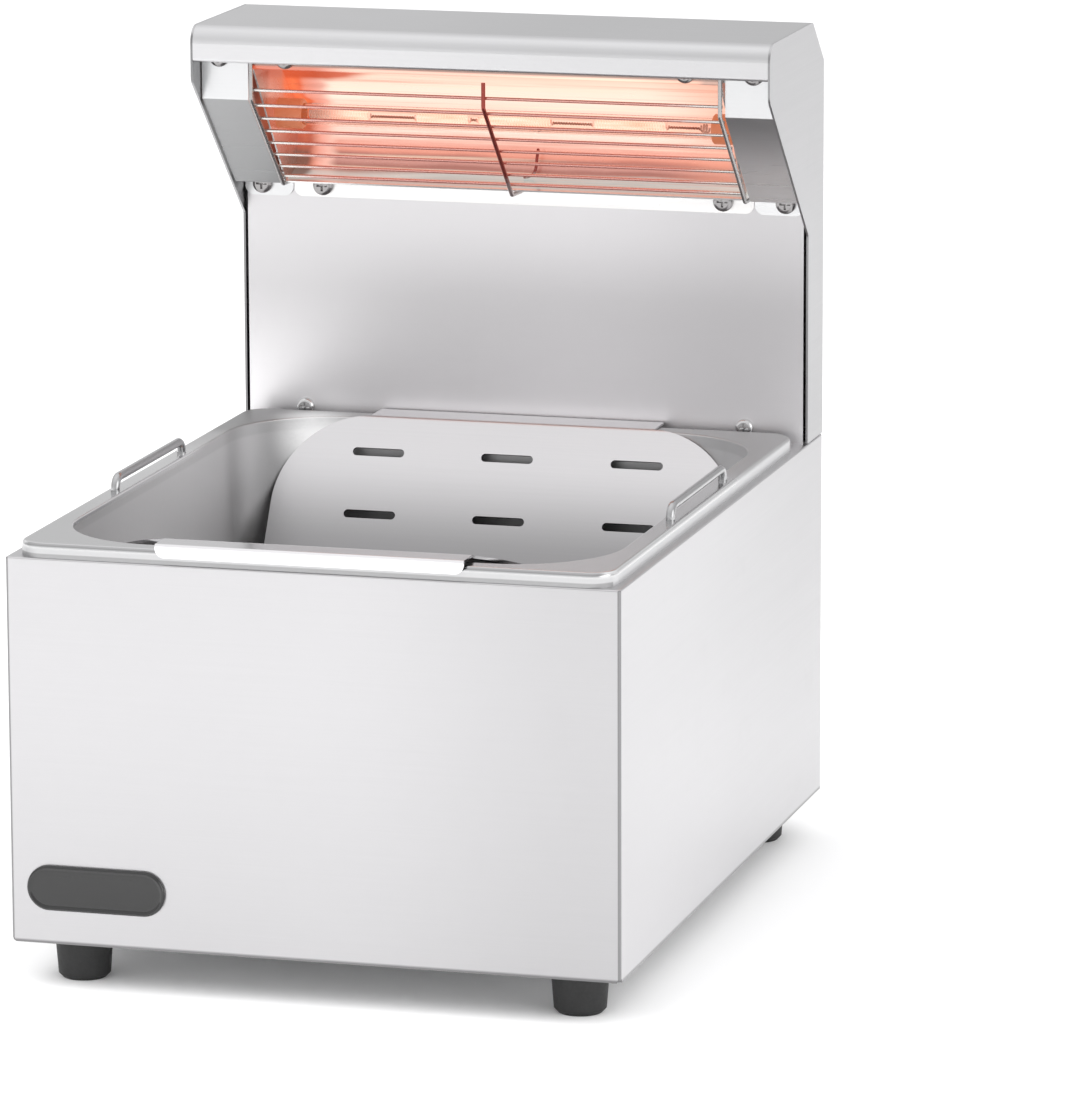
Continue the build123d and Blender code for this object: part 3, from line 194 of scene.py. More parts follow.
def brushed(name, colour, rough, spread=0.08, grain=1.0, bump=0.03, smudge=0.02, along="auto", tint=0.018, slope=None, fold=None, tone=None, shade=(), polish=None, patch=(), glow=(), bead=None, inside=None):
    """Satin-brushed sheet: fine grain along one direction, faint handling marks, slight tone drift; shade, slope, fold,
    tone, patch, bead, inside and glow paint light and shade into it.
    """
    n = Nodes(name)
    n.set(Metallic=1.0)
    fine = 1500.0 * grain
    long = 14.0
    if along == "auto":
        nx, ny, nz = n.normal()
        ax = n.noise(scale=(long, fine, fine), detail=3.0, rough=0.6)
        ay = n.noise(scale=(fine, long, fine), detail=3.0, rough=0.6)
        side = n.rng(n.math("ABSOLUTE", nx), 0.45, 0.55, 0.0, 1.0)
        g1 = n.mix(side, ax, ay)
        bx = n.noise(scale=(long * 0.4, fine * 0.25, fine * 0.25), detail=2.0)
        by = n.noise(scale=(fine * 0.25, long * 0.4, fine * 0.25), detail=2.0)
        g2 = n.mix(side, bx, by)
    else:
        s = {"x": (long, fine, fine), "y": (fine, long, fine), "z": (fine, fine, long)}[along]
        g1 = n.noise(scale=s, detail=3.0, rough=0.6)
        g2 = n.noise(scale=tuple(v * (0.4 if v == long else 0.25) for v in s), detail=2.0)
    grainv = n.math("ADD", n.math("MULTIPLY", g1, 0.65), n.math("MULTIPLY", g2, 0.35))
    cloud = n.noise(scale=(9, 9, 9), detail=4.0, rough=0.6)
    marks = n.rng(n.noise(scale=(38, 38, 38), detail=5.0, rough=0.65, offset=(3.1, 1.7, 0.4)), 0.55, 0.75, 0.0, 1.0, smooth=True)
    r = n.math("ADD", n.rng(grainv, 0.3, 0.7, rough - spread, rough + spread), n.math("MULTIPLY", marks, smudge))
    r = n.math("ADD", r, n.rng(cloud, 0.3, 0.7, -0.02, 0.02))
    if polish:
        # The pressed edge above a height is brighter-rolled than the rest of the sheet.
        gain = n.rng(n.position()[2], FZ + polish[0], FZ + polish[1], 1.0, polish[2], smooth=True)
        gain = n.mix(n.rng(n.position()[1], FY + 0.200, FY + 0.240, 0.0, 1.0, smooth=True), gain, 1.0)
        r = n.math("MULTIPLY", r, gain)
    n.to(r, "Roughness")
    v = n.math("ADD", n.rng(grainv, 0.3, 0.7, 1.0 - tint, 1.0 + tint), n.rng(cloud, 0.3, 0.7, -0.015, 0.015))
    for face, axis, lo, hi, a, b in shade:
        # Painted light and shade: a slow change of tone across the faces that look along one axis.
        mask = n.rng(n.math("ABSOLUTE", n.normal()[face]), 0.75, 0.95, 0.0, 1.0, smooth=True)
        f = n.rng(n.position()[axis], lo, hi, a, b, smooth=True)
        v = n.math("MULTIPLY", v, n.mix(mask, 1.0, f))
    if slope:
        # Painted shade and light: faces that slope downwards get a tone that changes with height, and the other faces a
        # flat gain.
        nx_, ny_, nz_ = n.normal()
        down = n.rng(nz_, -0.25, -0.45, 0.0, 1.0)
        hx, hy, hz = n.position()
        slope_shade = n.rng(hz, FZ + slope[2], FZ + slope[3], slope[0], slope[1])
        v = n.math("MULTIPLY", v, n.mix(down, slope[4], slope_shade))
    if fold:
        # Painted shade: a narrow darker line on the outside of a fold, standing in for the darker reflection in the
        # bend.
        nx_, ny_, nz_ = n.normal()
        bend = n.math("MULTIPLY", n.math("ABSOLUTE", nx_), n.math("ABSOLUTE", ny_))
        v = n.math("MULTIPLY", v, n.rng(bend, 0.08, 0.30, 1.0, fold, smooth=True))
    if tone:
        # Painted light and shade: a slow change of tone with height.
        hx, hy, hz = n.position()
        v = n.math("MULTIPLY", v, n.rng(hz, FZ + tone[0], FZ + tone[1], tone[2], tone[3], smooth=True))
    for lows, highs, soft_, f in patch:
        # Painted shade: the sheet inside a soft-edged box is darkened by a factor.
        q = n.position()
        w = None
        for i in range(3):
            a = n.math("MULTIPLY", n.rng(q[i], lows[i], lows[i] + soft_, 0.0, 1.0, smooth=True), n.rng(q[i], highs[i] - soft_, highs[i], 1.0, 0.0, smooth=True))
            w = a if w is None else n.math("MULTIPLY", w, a)
        v = n.math("MULTIPLY", v, n.rng(w, 0.0, 1.0, 1.0, f))
    if bead:
        # Painted highlight on the rolled edges, with painted shade on the front one and towards the back.
        zz = n.normal()[2]
        roll = n.math("MULTIPLY", n.rng(zz, 0.22, 0.42, 0.0, 1.0, smooth=True), n.rng(zz, 0.82, 0.96, 1.0, 0.0, smooth=True))
        roll = n.math("MULTIPLY", roll, n.rng(n.position()[2], FZ + bead[0], FZ + bead[0] + 0.001, 0.0, 1.0))
        front = n.rng(n.position()[1], FY + 0.003, FY + 0.006, bead[2], bead[1], smooth=True)
        front = n.math("MULTIPLY", front, n.rng(n.position()[1], FY + 0.190, FY + 0.250, 1.0, 0.70, smooth=True))
        v = n.math("MULTIPLY", v, n.mix(roll, 1.0, front))
    inner = None
    if inside:
        # Painted shade: the inner face of the left-hand side sheet is darkened, as if in the hood's shade.
        inner = n.math("MULTIPLY", n.rng(n.normal()[0], 0.75, 0.95, 0.0, 1.0), n.rng(n.position()[0], -0.10, -0.11, 0.0, 1.0))
        v = n.math("MULTIPLY", v, n.mix(inner, 1.0, inside[0]))
    light = None
    for centre, radius, amount in glow:
        # Painted light: emission in a soft sphere, standing in for light gathered by a curved corner.
        d = n.new("ShaderNodeVectorMath", operation="DISTANCE")
        n.link(n.coords(), d.inputs[0])
        d.inputs[1].default_value = centre
        a = n.rng(d.outputs["Value"], 0.0, radius, amount, 0.0, smooth=True)
        light = a if light is None else n.math("ADD", light, a)
    if inside:
        # Painted light: emission on that inner face along the narrow gap beside the terminal cover.
        yy = n.position()[1]
        span = n.math("MULTIPLY", n.rng(yy, FY + 0.268, FY + 0.277, 0.0, inside[1], smooth=True), n.rng(yy, FY + 0.308, FY + 0.320, 1.0, 0.0, smooth=True))
        a = n.math("MULTIPLY", span, inner)
        light = a if light is None else n.math("ADD", light, a)
    if light is not None:
        n.set(Emission_Color=(1.0, 1.0, 1.0, 1))
        n.to(n.math("MULTIPLY", light, n.rng(grainv, 0.3, 0.7, 0.94, 1.06)), "Emission Strength")
    rgb = n.new("ShaderNodeCombineXYZ")
    for i in range(3):
        n.link(n.math("MULTIPLY", v, colour[i]), rgb.inputs[i])
    n.to(rgb.outputs[0], "Base Color")
    n.to(n.bump(grainv, bump, 0.0002), "Normal")
    return n.mat


def plain_metal(name, colour, rough, spread=0.06, scale=220.0, bump=0.03, long=(1, 1, 1), tint=0.04):
    n = Nodes(name)
    n.set(Metallic=1.0)
    g = n.noise(scale=tuple(scale * a for a in long), detail=4.0, rough=0.6)
    c = n.noise(scale=(30, 30, 30), detail=3.0)
    n.to(n.math("ADD", n.rng(g, 0.3, 0.7, rough - spread, rough + spread), n.rng(c, 0.3, 0.7, -0.02, 0.03)), "Roughness")
    n.to(n.ramp(n.math("ADD", n.math("MULTIPLY", g, 0.6), n.math("MULTIPLY", c, 0.4)),
                [(0.3, [v * (1 - tint) for v in colour]), (0.7, [min(1, v * (1 + tint)) for v in colour])]), "Base Color")
    n.to(n.bump(g, bump, 0.0003), "Normal")
    return n.mat


def moulded(name, colour, rough, scale=900.0, bump=0.12, spread=0.05, tint=0.15, coat=0.0):
    n = Nodes(name)
    g = n.noise(scale=(scale, scale, scale), detail=3.0)
    c = n.noise(scale=(40, 40, 40), detail=4.0, rough=0.6)
    n.to(n.rng(g, 0.3, 0.7, rough - spread, rough + spread), "Roughness")
    n.to(n.ramp(c, [(0.3, [v * (1 - tint) for v in colour]), (0.7, [min(1, v * (1 + tint)) for v in colour])]), "Base Color")
    n.to(n.bump(g, bump, 0.0002), "Normal")
    if coat:
        n.bsdf.inputs["Coat Weight"].default_value = coat
        n.bsdf.inputs["Coat Roughness"].default_value = 0.04
    return n.mat


M = {}
# The sheets are all one brushed steel; the copies below differ in base colour and settings as painted light and shade.
M["casing"] = brushed("casing_steel", (0.62, 0.622, 0.627), 0.33, spread=0.04)
# Painted shade: the tower sides are a darker copy of the casing steel, darker still on their front faces and lower
# down; the left inner face gets painted shade and a painted light strip.
M["tower"] = brushed("casing_steel_tower", (0.486, 0.483, 0.490), 0.33, spread=0.04, shade=[(1, 0, -0.01, 0.01, 0.50, 0.62), (0, 2, FZ + 0.170, FZ + 0.270, 0.87, 1.0)], inside=(0.60, 0.17))
# Painted shade: the rear deck is a darker copy of the casing steel.
M["deck"] = brushed("casing_steel_deck", (0.43, 0.431, 0.435), 0.33, spread=0.04)
# Painted shade: the wrap is darker towards the front right, towards the side's rear, low on the front and in a box at
# the rear bottom of the right side, with dark lines along the bottom edge and on the outside of the folds; the sides
# are painted lighter low down.
M["wrap"] = brushed("casing_steel_wrap", (0.574, 0.568, 0.577), 0.33, spread=0.04, fold=0.45,
                    shade=[(1, 0, 0.0, 0.13, 1.0, 0.88), (0, 1, -0.16, 0.17, 1.0, 0.86), (1, 2, FZ, FZ + 0.13, 0.93, 1.0),
                           (0, 2, FZ, FZ + 0.13, 1.18, 0.99), (1, 2, FZ + 0.0006, FZ + 0.0018, 0.42, 1.0),
                           (0, 2, FZ + 0.0006, FZ + 0.0018, 0.55, 1.0)],
                    patch=[((0.120, -0.030, FZ - 0.050), (0.150, 0.240, FZ + 0.100), 0.060, 0.70)])
# Painted light and shade: the hood's front is lighter on the left, its top darker to the right and its sides darker
# lower down.
M["hood"] = brushed("casing_steel_hood", (0.594, 0.592, 0.599), 0.32, spread=0.04, along="x",
                    shade=[(1, 0, -0.1, 0.12, 1.07, 0.99), (2, 0, -0.13, 0.05, 0.98, 0.88), (0, 2, FZ + 0.25, FZ + 0.33, 0.78, 0.97)])
# Painted shade and light on the brackets: the downward slopes get a tone that changes with height, darkened on the left
# and lightened towards the bottom on the right, the other faces a flat lift, and the right one a painted light spot.
M["bracket_left"] = brushed("casing_steel_bracket_left", (0.62, 0.622, 0.627), 0.30, spread=0.04, slope=(0.53, 0.625, 0.285, 0.330, 1.09))
M["bracket_right"] = brushed("casing_steel_bracket_right", (0.62, 0.622, 0.627), 0.30, spread=0.04, slope=(2.02, 0.89, 0.288, 0.328, 1.055), glow=[((0.118, 0.130, FZ + 0.284), 0.060, 0.13)])
# Painted light and shade: the splash panel is much lighter towards the bottom, lighter at the top, slightly darker at
# the far left and darker to the right.
M["splash"] = brushed("casing_steel_splash", (0.604, 0.594, 0.602), 0.36, spread=0.015, grain=0.8, bump=0.006, smudge=0.0, tint=0.006, along="x",
                      tone=(0.175, 0.238, 1.43, 1.01), shade=[(1, 0, 0.02, 0.12, 1.0, 0.86), (1, 0, -0.12, 0.01, 0.95, 1.06), (1, 2, FZ + 0.230, FZ + 0.272, 1.0, 1.10)])
# Painted shade: the drain plate darkens towards the bottom; painted highlight on the hook's front face.
M["plate"] = brushed("pan_steel_plate", (0.70, 0.690, 0.700), 0.32, spread=0.03, grain=0.8, along="x", tone=(0.118, 0.163, 0.46, 1.0),
                     polish=(0.1690, 0.1760, 0.42), shade=[(1, 1, FY - 0.0006, FY + 0.0006, 1.34, 1.0)])
# Painted light and shade in the pan: shade in the back-left corner of the bowl, along the rim and in a line under the
# hook lip, darker towards the back, lighter on the right outer side, painted highlights on the rolled edges and painted
# light spots on the left wall and at the back-left corner.
M["pan"] = brushed("pan_steel_bowl", (0.66, 0.66, 0.665), 0.46, spread=0.03, grain=0.6, bump=0.02, along="x", polish=(0.1735, 0.1750, 0.37),
                   shade=[(1, 1, FY + 0.0004, FY + 0.0060, 1.0, 1.0), (0, 0, 0.1300, 0.1322, 1.0, 1.12), (2, 1, FY + 0.170, FY + 0.260, 1.0, 0.86)],
                   patch=[((-0.170, FY + 0.246, FZ + 0.040), (-0.076, FY + 0.360, FZ + 0.170), 0.030, 0.92),
                          ((-0.170, FY + 0.254, FZ + 0.128), (-0.076, FY + 0.360, FZ + 0.198), 0.020, 0.74),
                          ((-0.140, FY - 0.010, FZ + 0.170), (0.140, FY + 0.340, FZ + 0.190), 0.0015, 0.90),
                          ((-0.140, FY - 0.010, FZ + 0.1694), (0.140, FY + 0.008, FZ + 0.1722), 0.0006, 0.66)],
                   bead=(0.167, 1.40, 0.60),
                   glow=[((-0.096, FY + 0.310, FZ + 0.168), 0.024, 0.60), ((-0.120, FY + 0.110, FZ + 0.120), 0.080, 0.085), ((-0.1226, FY + 0.185, FZ + 0.160), 0.105, 0.070)])
M["wire"] = plain_metal("wire_steel", (0.45, 0.45, 0.455), 0.17)
# Painted shade: the guard frame is the same wire as the bars, given a darker colour.
M["frame"] = plain_metal("guard_wire_frame", (0.40, 0.39, 0.385), 0.26)
M["screw_bright"] = plain_metal("fastener_steel_bright", (0.62, 0.62, 0.62), 0.14, scale=900)
# Painted shade: a darker copy of the fastener steel.
M["screw"] = plain_metal("fastener_steel", (0.31, 0.30, 0.30), 0.18, scale=900)
M["rubber"] = moulded("foot_rubber", (0.018, 0.018, 0.018), 0.62, scale=700, bump=0.25)
M["grommet"] = moulded("grommet_rubber", (0.03, 0.03, 0.03), 0.6)
M["badge"] = moulded("badge_black", (0.004, 0.004, 0.004), 0.14, bump=0.01, coat=0.55)
M["black"] = moulded("black_plastic", (0.02, 0.02, 0.022), 0.42, scale=1200)
M["ceramic"] = moulded("ceramic", (0.80, 0.76, 0.70), 0.45, scale=1500, bump=0.08, tint=0.04)
# Painted glow: the tube caps are given an orange colour and orange emission.
M["cap"] = moulded("ceramic_caps", (0.40, 0.15, 0.08), 0.45, scale=1500, bump=0.08, tint=0.2)
M["cap"].node_tree.nodes["Principled BSDF"].inputs["Emission Color"].default_value = (0.80, 0.22, 0.09, 1)
M["cap"].node_tree.nodes["Principled BSDF"].inputs["Emission Strength"].default_value = 0.40
M["brass"] = plain_metal("terminal_brass", (0.72, 0.52, 0.22), 0.28)
M["brown"] = moulded("lead_brown", (0.16, 0.06, 0.03), 0.5)
M["blue"] = moulded("lead_blue", (0.03, 0.10, 0.35), 0.5)

n = Nodes("lead_green")
stripe = n.math("SINE", n.math("MULTIPLY", n.math("ADD", n.position()[0], n.position()[2]), 900.0))
n.to(n.mixcol(n.rng(stripe, -0.1, 0.1, 0, 1), (0.10, 0.40, 0.05, 1), (0.75, 0.70, 0.05, 1)), "Base Color")
n.set(Roughness=0.5)
M["green"] = n.mat


def lin(r, g, b_):
    """sRGB 0-255 to linear."""
    f = lambda v: (v / 255 / 12.92) if v <= 10.3 else ((v / 255 + 0.055) / 1.055) ** 2.4
    return (f(r), f(g), f(b_))


# Reflector: painted glow and reflections on the inner face, as emission: long streaks along the
# tube, deep brick bands at the left end and a clear silver ledge along the bottom.
n = Nodes("reflector_bright")
n.set(Metallic=0.85)
px, py, pz = n.position()
hz = n.math("SUBTRACT", pz, FZ)
wob = n.noise(scale=(10, 60, 60), detail=3.0, rough=0.55)
wobs = n.rng(wob, 0.3, 0.7, -1.0, 1.0)
height = n.math("ADD", hz, n.math("MULTIPLY", wobs, 0.0012))
# Painted glow and reflections by height along the tube, with painted streaks.
col_mid = n.ramp(n.rng(height, 0.284, 0.342, 0.0, 1.0), [
    (0.00, lin(206, 216, 212)), (0.050, lin(178, 188, 184)), (0.085, lin(208, 217, 212)), (0.110, lin(184, 176, 170)), (0.132, lin(146, 78, 68)),
    (0.150, lin(142, 74, 64)), (0.178, lin(186, 122, 112)), (0.212, lin(164, 98, 86)), (0.235, lin(150, 76, 66)), (0.262, lin(218, 132, 110)),
    (0.315, lin(230, 156, 138)), (0.38, lin(250, 212, 196)),
    (0.52, lin(255, 226, 212)), (0.62, lin(248, 200, 184)), (0.74, lin(255, 234, 218)), (0.88, lin(255, 226, 206)), (1.00, lin(248, 196, 176))])
streak = n.noise(scale=(5, 300, 300), detail=4.0, rough=0.6, offset=(0.7, 0.2, 0.9))
col_mid = n.mixcol(n.rng(streak, 0.50, 0.72, 0.0, 0.55, smooth=True), col_mid, lin(206, 112, 88) + (1,))
streak2 = n.noise(scale=(4, 380, 380), detail=3.0, rough=0.5, offset=(2.7, 1.2, 0.3))
col_mid = n.mixcol(n.rng(streak2, 0.55, 0.72, 0.0, 0.6, smooth=True), col_mid, lin(255, 232, 204) + (1,))
ragged = n.noise(scale=(26, 90, 120), detail=3.0, offset=(1.3, 0.5, 2.2))
xw = n.math("ADD", px, n.rng(ragged, 0.3, 0.7, -0.0022, 0.0022))
# Painted glow at the left end, in orange and brick bands.
col_left = n.ramp(n.rng(xw, -0.1105, -0.0930, 0.0, 1.0), [
    (0.00, lin(228, 96, 56)), (0.20, lin(240, 116, 70)), (0.34, lin(226, 104, 66)), (0.46, lin(234, 146, 122)), (0.70, lin(238, 164, 146)), (1.00, lin(246, 190, 172))])
shade_l = n.rng(n.noise(scale=(20, 160, 160), detail=3.0, offset=(0.2, 3.1, 1.7)), 0.35, 0.65, 0.72, 1.12)
col_left = n.mixcol(1.0, col_left, n.ramp(shade_l, [(0.0, (0.0, 0.0, 0.0)), (1.0, (1.0, 1.0, 1.0))]), blend="MULTIPLY")
low = n.rng(height, 0.2902, 0.2912, 0.0, 1.0, smooth=True)
left = n.math("MULTIPLY", n.rng(xw, -0.0895, -0.0960, 0.0, 1.0, smooth=True), low)
col = n.mixcol(left, col_mid, col_left)
# Painted glow: an orange brow along the top towards the left, and brick low at the left end.
brow = n.math("MULTIPLY", n.rng(xw, -0.060, -0.082, 0.0, 0.95, smooth=True), n.rng(n.math("ADD", height, n.rng(xw, -0.060, -0.090, -0.0045, 0.0)), 0.3325, 0.3352, 0.0, 1.0, smooth=True))
col = n.mixcol(brow, col, lin(196, 70, 28) + (1,))
brick = n.math("MULTIPLY", n.rng(xw, -0.0985, -0.1050, 0.0, 0.62, smooth=True), n.rng(height, 0.3080, 0.3200, 1.0, 0.0, smooth=True))
col = n.mixcol(n.math("MULTIPLY", brick, low), col, lin(142, 58, 42) + (1,))
# Painted glow on the end sheet: brick at the mouth, a dusty pink patch behind it, clear orange at the back.
nx, ny, nz = n.normal()
sheet_end = n.math("MULTIPLY", n.rng(n.math("ABSOLUTE", nx), 0.7, 0.9, 0.0, 1.0), n.rng(px, -0.05, -0.06, 0.0, 1.0))
depth = n.math("ADD", n.math("SUBTRACT", py, FY), n.rng(ragged, 0.3, 0.7, -0.0020, 0.0020))
col_end = n.ramp(n.rng(depth, 0.280, 0.336, 0.0, 1.0), [
    (0.00, lin(100, 42, 30)), (0.17, lin(134, 58, 40)), (0.25, lin(184, 108, 90)), (0.58, lin(194, 118, 98)), (0.68, lin(230, 106, 62)),
    (0.86, lin(236, 98, 46)), (1.00, lin(204, 82, 48))])
col_end = n.mixcol(n.rng(height, 0.3300, 0.3240, 0.0, 0.55, smooth=True), col_end, lin(196, 84, 54) + (1,))
col_end = n.mixcol(n.rng(height, 0.3160, 0.3040, 0.0, 0.75, smooth=True), col_end, lin(136, 58, 44) + (1,))
col = n.mixcol(sheet_end, col, col_end)
# Painted reflection: a dark patch low at the left end.
dark_reflection = n.math("MULTIPLY", n.rng(xw, -0.1015, -0.1055, 0.0, 0.80, smooth=True), n.math("MULTIPLY", n.rng(height, 0.2875, 0.2890, 0.0, 1.0), n.rng(height, 0.2965, 0.3000, 1.0, 0.0)))
col = n.mixcol(dark_reflection, col, lin(78, 58, 48) + (1,))
# Painted glow at the right end.
right = n.math("MULTIPLY", n.rng(xw, 0.060, 0.104, 0.0, 0.55, smooth=True), low)
col = n.mixcol(right, col, lin(226, 140, 112) + (1,))
col = n.mixcol(n.math("MULTIPLY", n.rng(xw, 0.098, 0.104, 0.0, 0.85, smooth=True), low), col, lin(168, 134, 122) + (1,))
# Painted shadow: a darker band along the top edge under the hood, darkest on the lip.
lip = n.rng(py, 0.0826, 0.0830, 1.0, 0.0)
col = n.mixcol(n.math("MULTIPLY", n.rng(hz, 0.3412, 0.3420, 0.0, 0.6, smooth=True), n.math("SUBTRACT", 1.0, lip)), col, lin(170, 110, 96) + (1,))
col = n.mixcol(n.math("MULTIPLY", n.rng(hz, 0.3462, 0.3472, 0.0, 0.9, smooth=True), lip), col, lin(84, 66, 62) + (1,))
n.to(col, "Emission Color")
# Painted glow: emission only on the faces turned to the tube, the end sheets and the lip, dimmer on the bottom ledge.
nx, ny, nz = n.normal()
inner = n.math("ADD", n.math("MULTIPLY", n.math("SUBTRACT", 0.120, py), ny), n.math("MULTIPLY", n.math("SUBTRACT", 0.3195, hz), nz))
inner = n.math("MAXIMUM", n.rng(inner, 0.0, 0.0008, 0.0, 1.0), n.rng(n.math("ABSOLUTE", nx), 0.7, 0.9, 0.0, 0.6))
inner = n.math("MAXIMUM", inner, lip)
lit = n.math("MULTIPLY", n.rng(hz, 0.2862, 0.2870, 0.0, 1.0, smooth=True), inner)
n.to(n.math("MULTIPLY", lit, n.rng(hz, 0.2900, 0.2915, 0.76, 1.0)), "Emission Strength")
warm_base = n.mixcol(n.rng(wob, 0.3, 0.7, 0.0, 1.0), (0.20, 0.15, 0.13, 1), (0.28, 0.22, 0.19, 1))
warm_base = n.mixcol(sheet_end, warm_base, (0.09, 0.05, 0.035, 1))
n.to(n.mixcol(lit, (0.86, 0.85, 0.84, 1), warm_base), "Base Color")
n.to(n.rng(wob, 0.3, 0.7, 0.20, 0.34), "Roughness")
n.to(n.bump(wob, 0.10, 0.001), "Normal")
M["reflector"] = n.mat

# Guard wires: bright plating, pinker-brown along the middle, with painted glow there as emission.
n = Nodes("guard_wire")
n.set(Metallic=1.0)
px, py, pz = n.position()
g = n.noise(scale=(300, 900, 900), detail=3.0)
tint_and_glow = n.rng(n.math("ABSOLUTE", n.math("ADD", px, n.rng(g, 0.3, 0.7, -0.004, 0.004))), 0.080, 0.108, 1.0, 0.0, smooth=True)
n.to(n.mixcol(tint_and_glow, lin(226, 222, 218) + (1,), lin(206, 160, 152) + (1,)), "Base Color")
n.set(Emission_Color=lin(186, 84, 66) + (1,))
n.to(n.math("MULTIPLY", tint_and_glow, 0.22), "Emission Strength")
n.to(n.rng(g, 0.3, 0.7, 0.22, 0.34), "Roughness")
n.to(n.bump(g, 0.05, 0.0002), "Normal")
M["guard"] = n.mat

n = Nodes("guard_wire_stay")
n.set(Metallic=1.0)
px, py, pz = n.position()
g = n.noise(scale=(900, 900, 900), detail=3.0)
# Darker red-brown towards the top, with painted glow there as emission.
tint_and_glow = n.rng(n.math("ADD", pz, n.rng(g, 0.3, 0.7, -0.003, 0.003)), FZ + 0.286, FZ + 0.296, 0.0, 1.0, smooth=True)
n.to(n.mixcol(tint_and_glow, lin(190, 178, 176) + (1,), lin(140, 70, 64) + (1,)), "Base Color")
n.set(Emission_Color=lin(150, 60, 48) + (1,))
n.to(n.math("MULTIPLY", tint_and_glow, 0.10), "Emission Strength")
n.to(n.rng(g, 0.3, 0.7, 0.26, 0.4), "Roughness")
n.to(n.bump(g, 0.05, 0.0002), "Normal")
M["stay"] = n.mat

n = Nodes("quartz_glass")
g = n.noise(scale=(60, 500, 500), detail=3.0)
n.to(n.rng(g, 0.3, 0.7, 0.03, 0.09), "Roughness")
n.set(**{"Transmission_Weight": 1.0, "IOR": 1.15})
n.to(n.ramp(g, [(0.3, (1.0, 0.90, 0.84)), (0.7, (1.0, 0.95, 0.92))]), "Base Color")
n.to(n.bump(g, 0.02, 0.0002), "Normal")
M["quartz"] = n.mat

n = Nodes("filament_hot")
px, py, pz = n.position()
edge = n.rng(n.math("ABSOLUTE", px), 0.070, 0.096, 1.0, 0.25, smooth=True)
g = n.noise(scale=(60, 700, 700), detail=3.0)
n.to(n.ramp(g, [(0.3, (0.30, 0.08, 0.05)), (0.7, (0.5, 0.16, 0.09))]), "Base Color")
n.to(n.ramp(g, [(0.35, lin(246, 190, 166)), (0.5, lin(252, 214, 194)), (0.7, lin(255, 236, 224))]), "Emission Color")
DEAD = [(-0.067, -0.043), (-0.019, -0.013), (0.020, 0.042), (0.075, 0.093)]     # straight, unheated lengths
dark = None
for lo, hi in DEAD:
    d_ = n.math("MULTIPLY", n.rng(px, lo, lo + 0.002, 0.0, 1.0), n.rng(px, hi - 0.002, hi, 1.0, 0.0))
    dark = d_ if dark is None else n.math("MAXIMUM", dark, d_)
n.to(n.math("MULTIPLY", edge, n.rng(dark, 0.0, 1.0, 1.15, 0.12)), "Emission Strength")
n.to(n.rng(g, 0.3, 0.7, 0.5, 0.7), "Roughness")
M["filament"] = n.mat

assign = {
    "deck": ["rear_deck"],
    "casing": ["base_plate", "rear_panel", "tower_back_cover", "splash_angle", "heater_rail"],
    "tower": ["tower_side_right", "tower_side_left"],
    "hood": ["hood_cover"],
    "splash": ["splash_panel"],
    "plate": ["drain_plate"],
    "pan": ["pan"],
    "wire": ["pan_handle_right", "pan_handle_left", "handle_stops_right", "handle_stops_left"],
    "guard": ["guard_bars"],
    "frame": ["guard_frame"],
    "stay": ["guard_stay"],
    "reflector": ["reflector"],
    "screw": ["foot_screws", "foot_nuts", "base_screws", "rear_panel_screws", "back_cover_screws", "tower_screws",
              "splash_nuts", "heater_screws_upper", "heater_nuts_upper", "heater_screws_lower",
              "heater_nuts_lower", "earth_stud", "earth_nut"],
    "screw_bright": ["splash_screws"],
    "rubber": ["foot_front_left", "foot_front_right", "foot_rear_left", "foot_rear_right"],
    "badge": ["badge"],
    "black": ["rocker_frame", "rocker", "cable_gland", "gland_cap", "gland_locknut"],
    "quartz": ["heater_tube"],
    "filament": ["heater_filament"],
    "ceramic": ["terminal_block"],
    "cap": ["tube_caps"],
    "bracket_left": ["heater_bracket_left"],
    "bracket_right": ["heater_bracket_right"],
    "wrap": ["housing_wrap"],
    "brass": ["tube_terminals", "switch_terminals", "terminal_clamps", "terminal_screws"],
    "grommet": ["wire_grommet"],
    "brown": ["lead_supply", "lead_switched"],
    "blue": ["lead_neutral"],
    "green": ["lead_earth"],
}
for key, names in assign.items():
    for name in names:
        o = nodes[name]
        o.data.materials.clear()
        o.data.materials.append(M[key])

# ---------------------------------------------------------------------------
# New pieces
# ---------------------------------------------------------------------------
def add_mesh(name, verts, faces, mat, smooth=True):
    me = bpy.data.meshes.new(name)
    me.from_pydata([tuple(v) for v in verts], [], faces)
    me.update()
    o = bpy.data.objects.new(name, me)
    bpy.context.scene.collection.objects.link(o)
    me.materials.append(mat)
    for p_ in me.polygons:
        p_.use_smooth = smooth
    return o


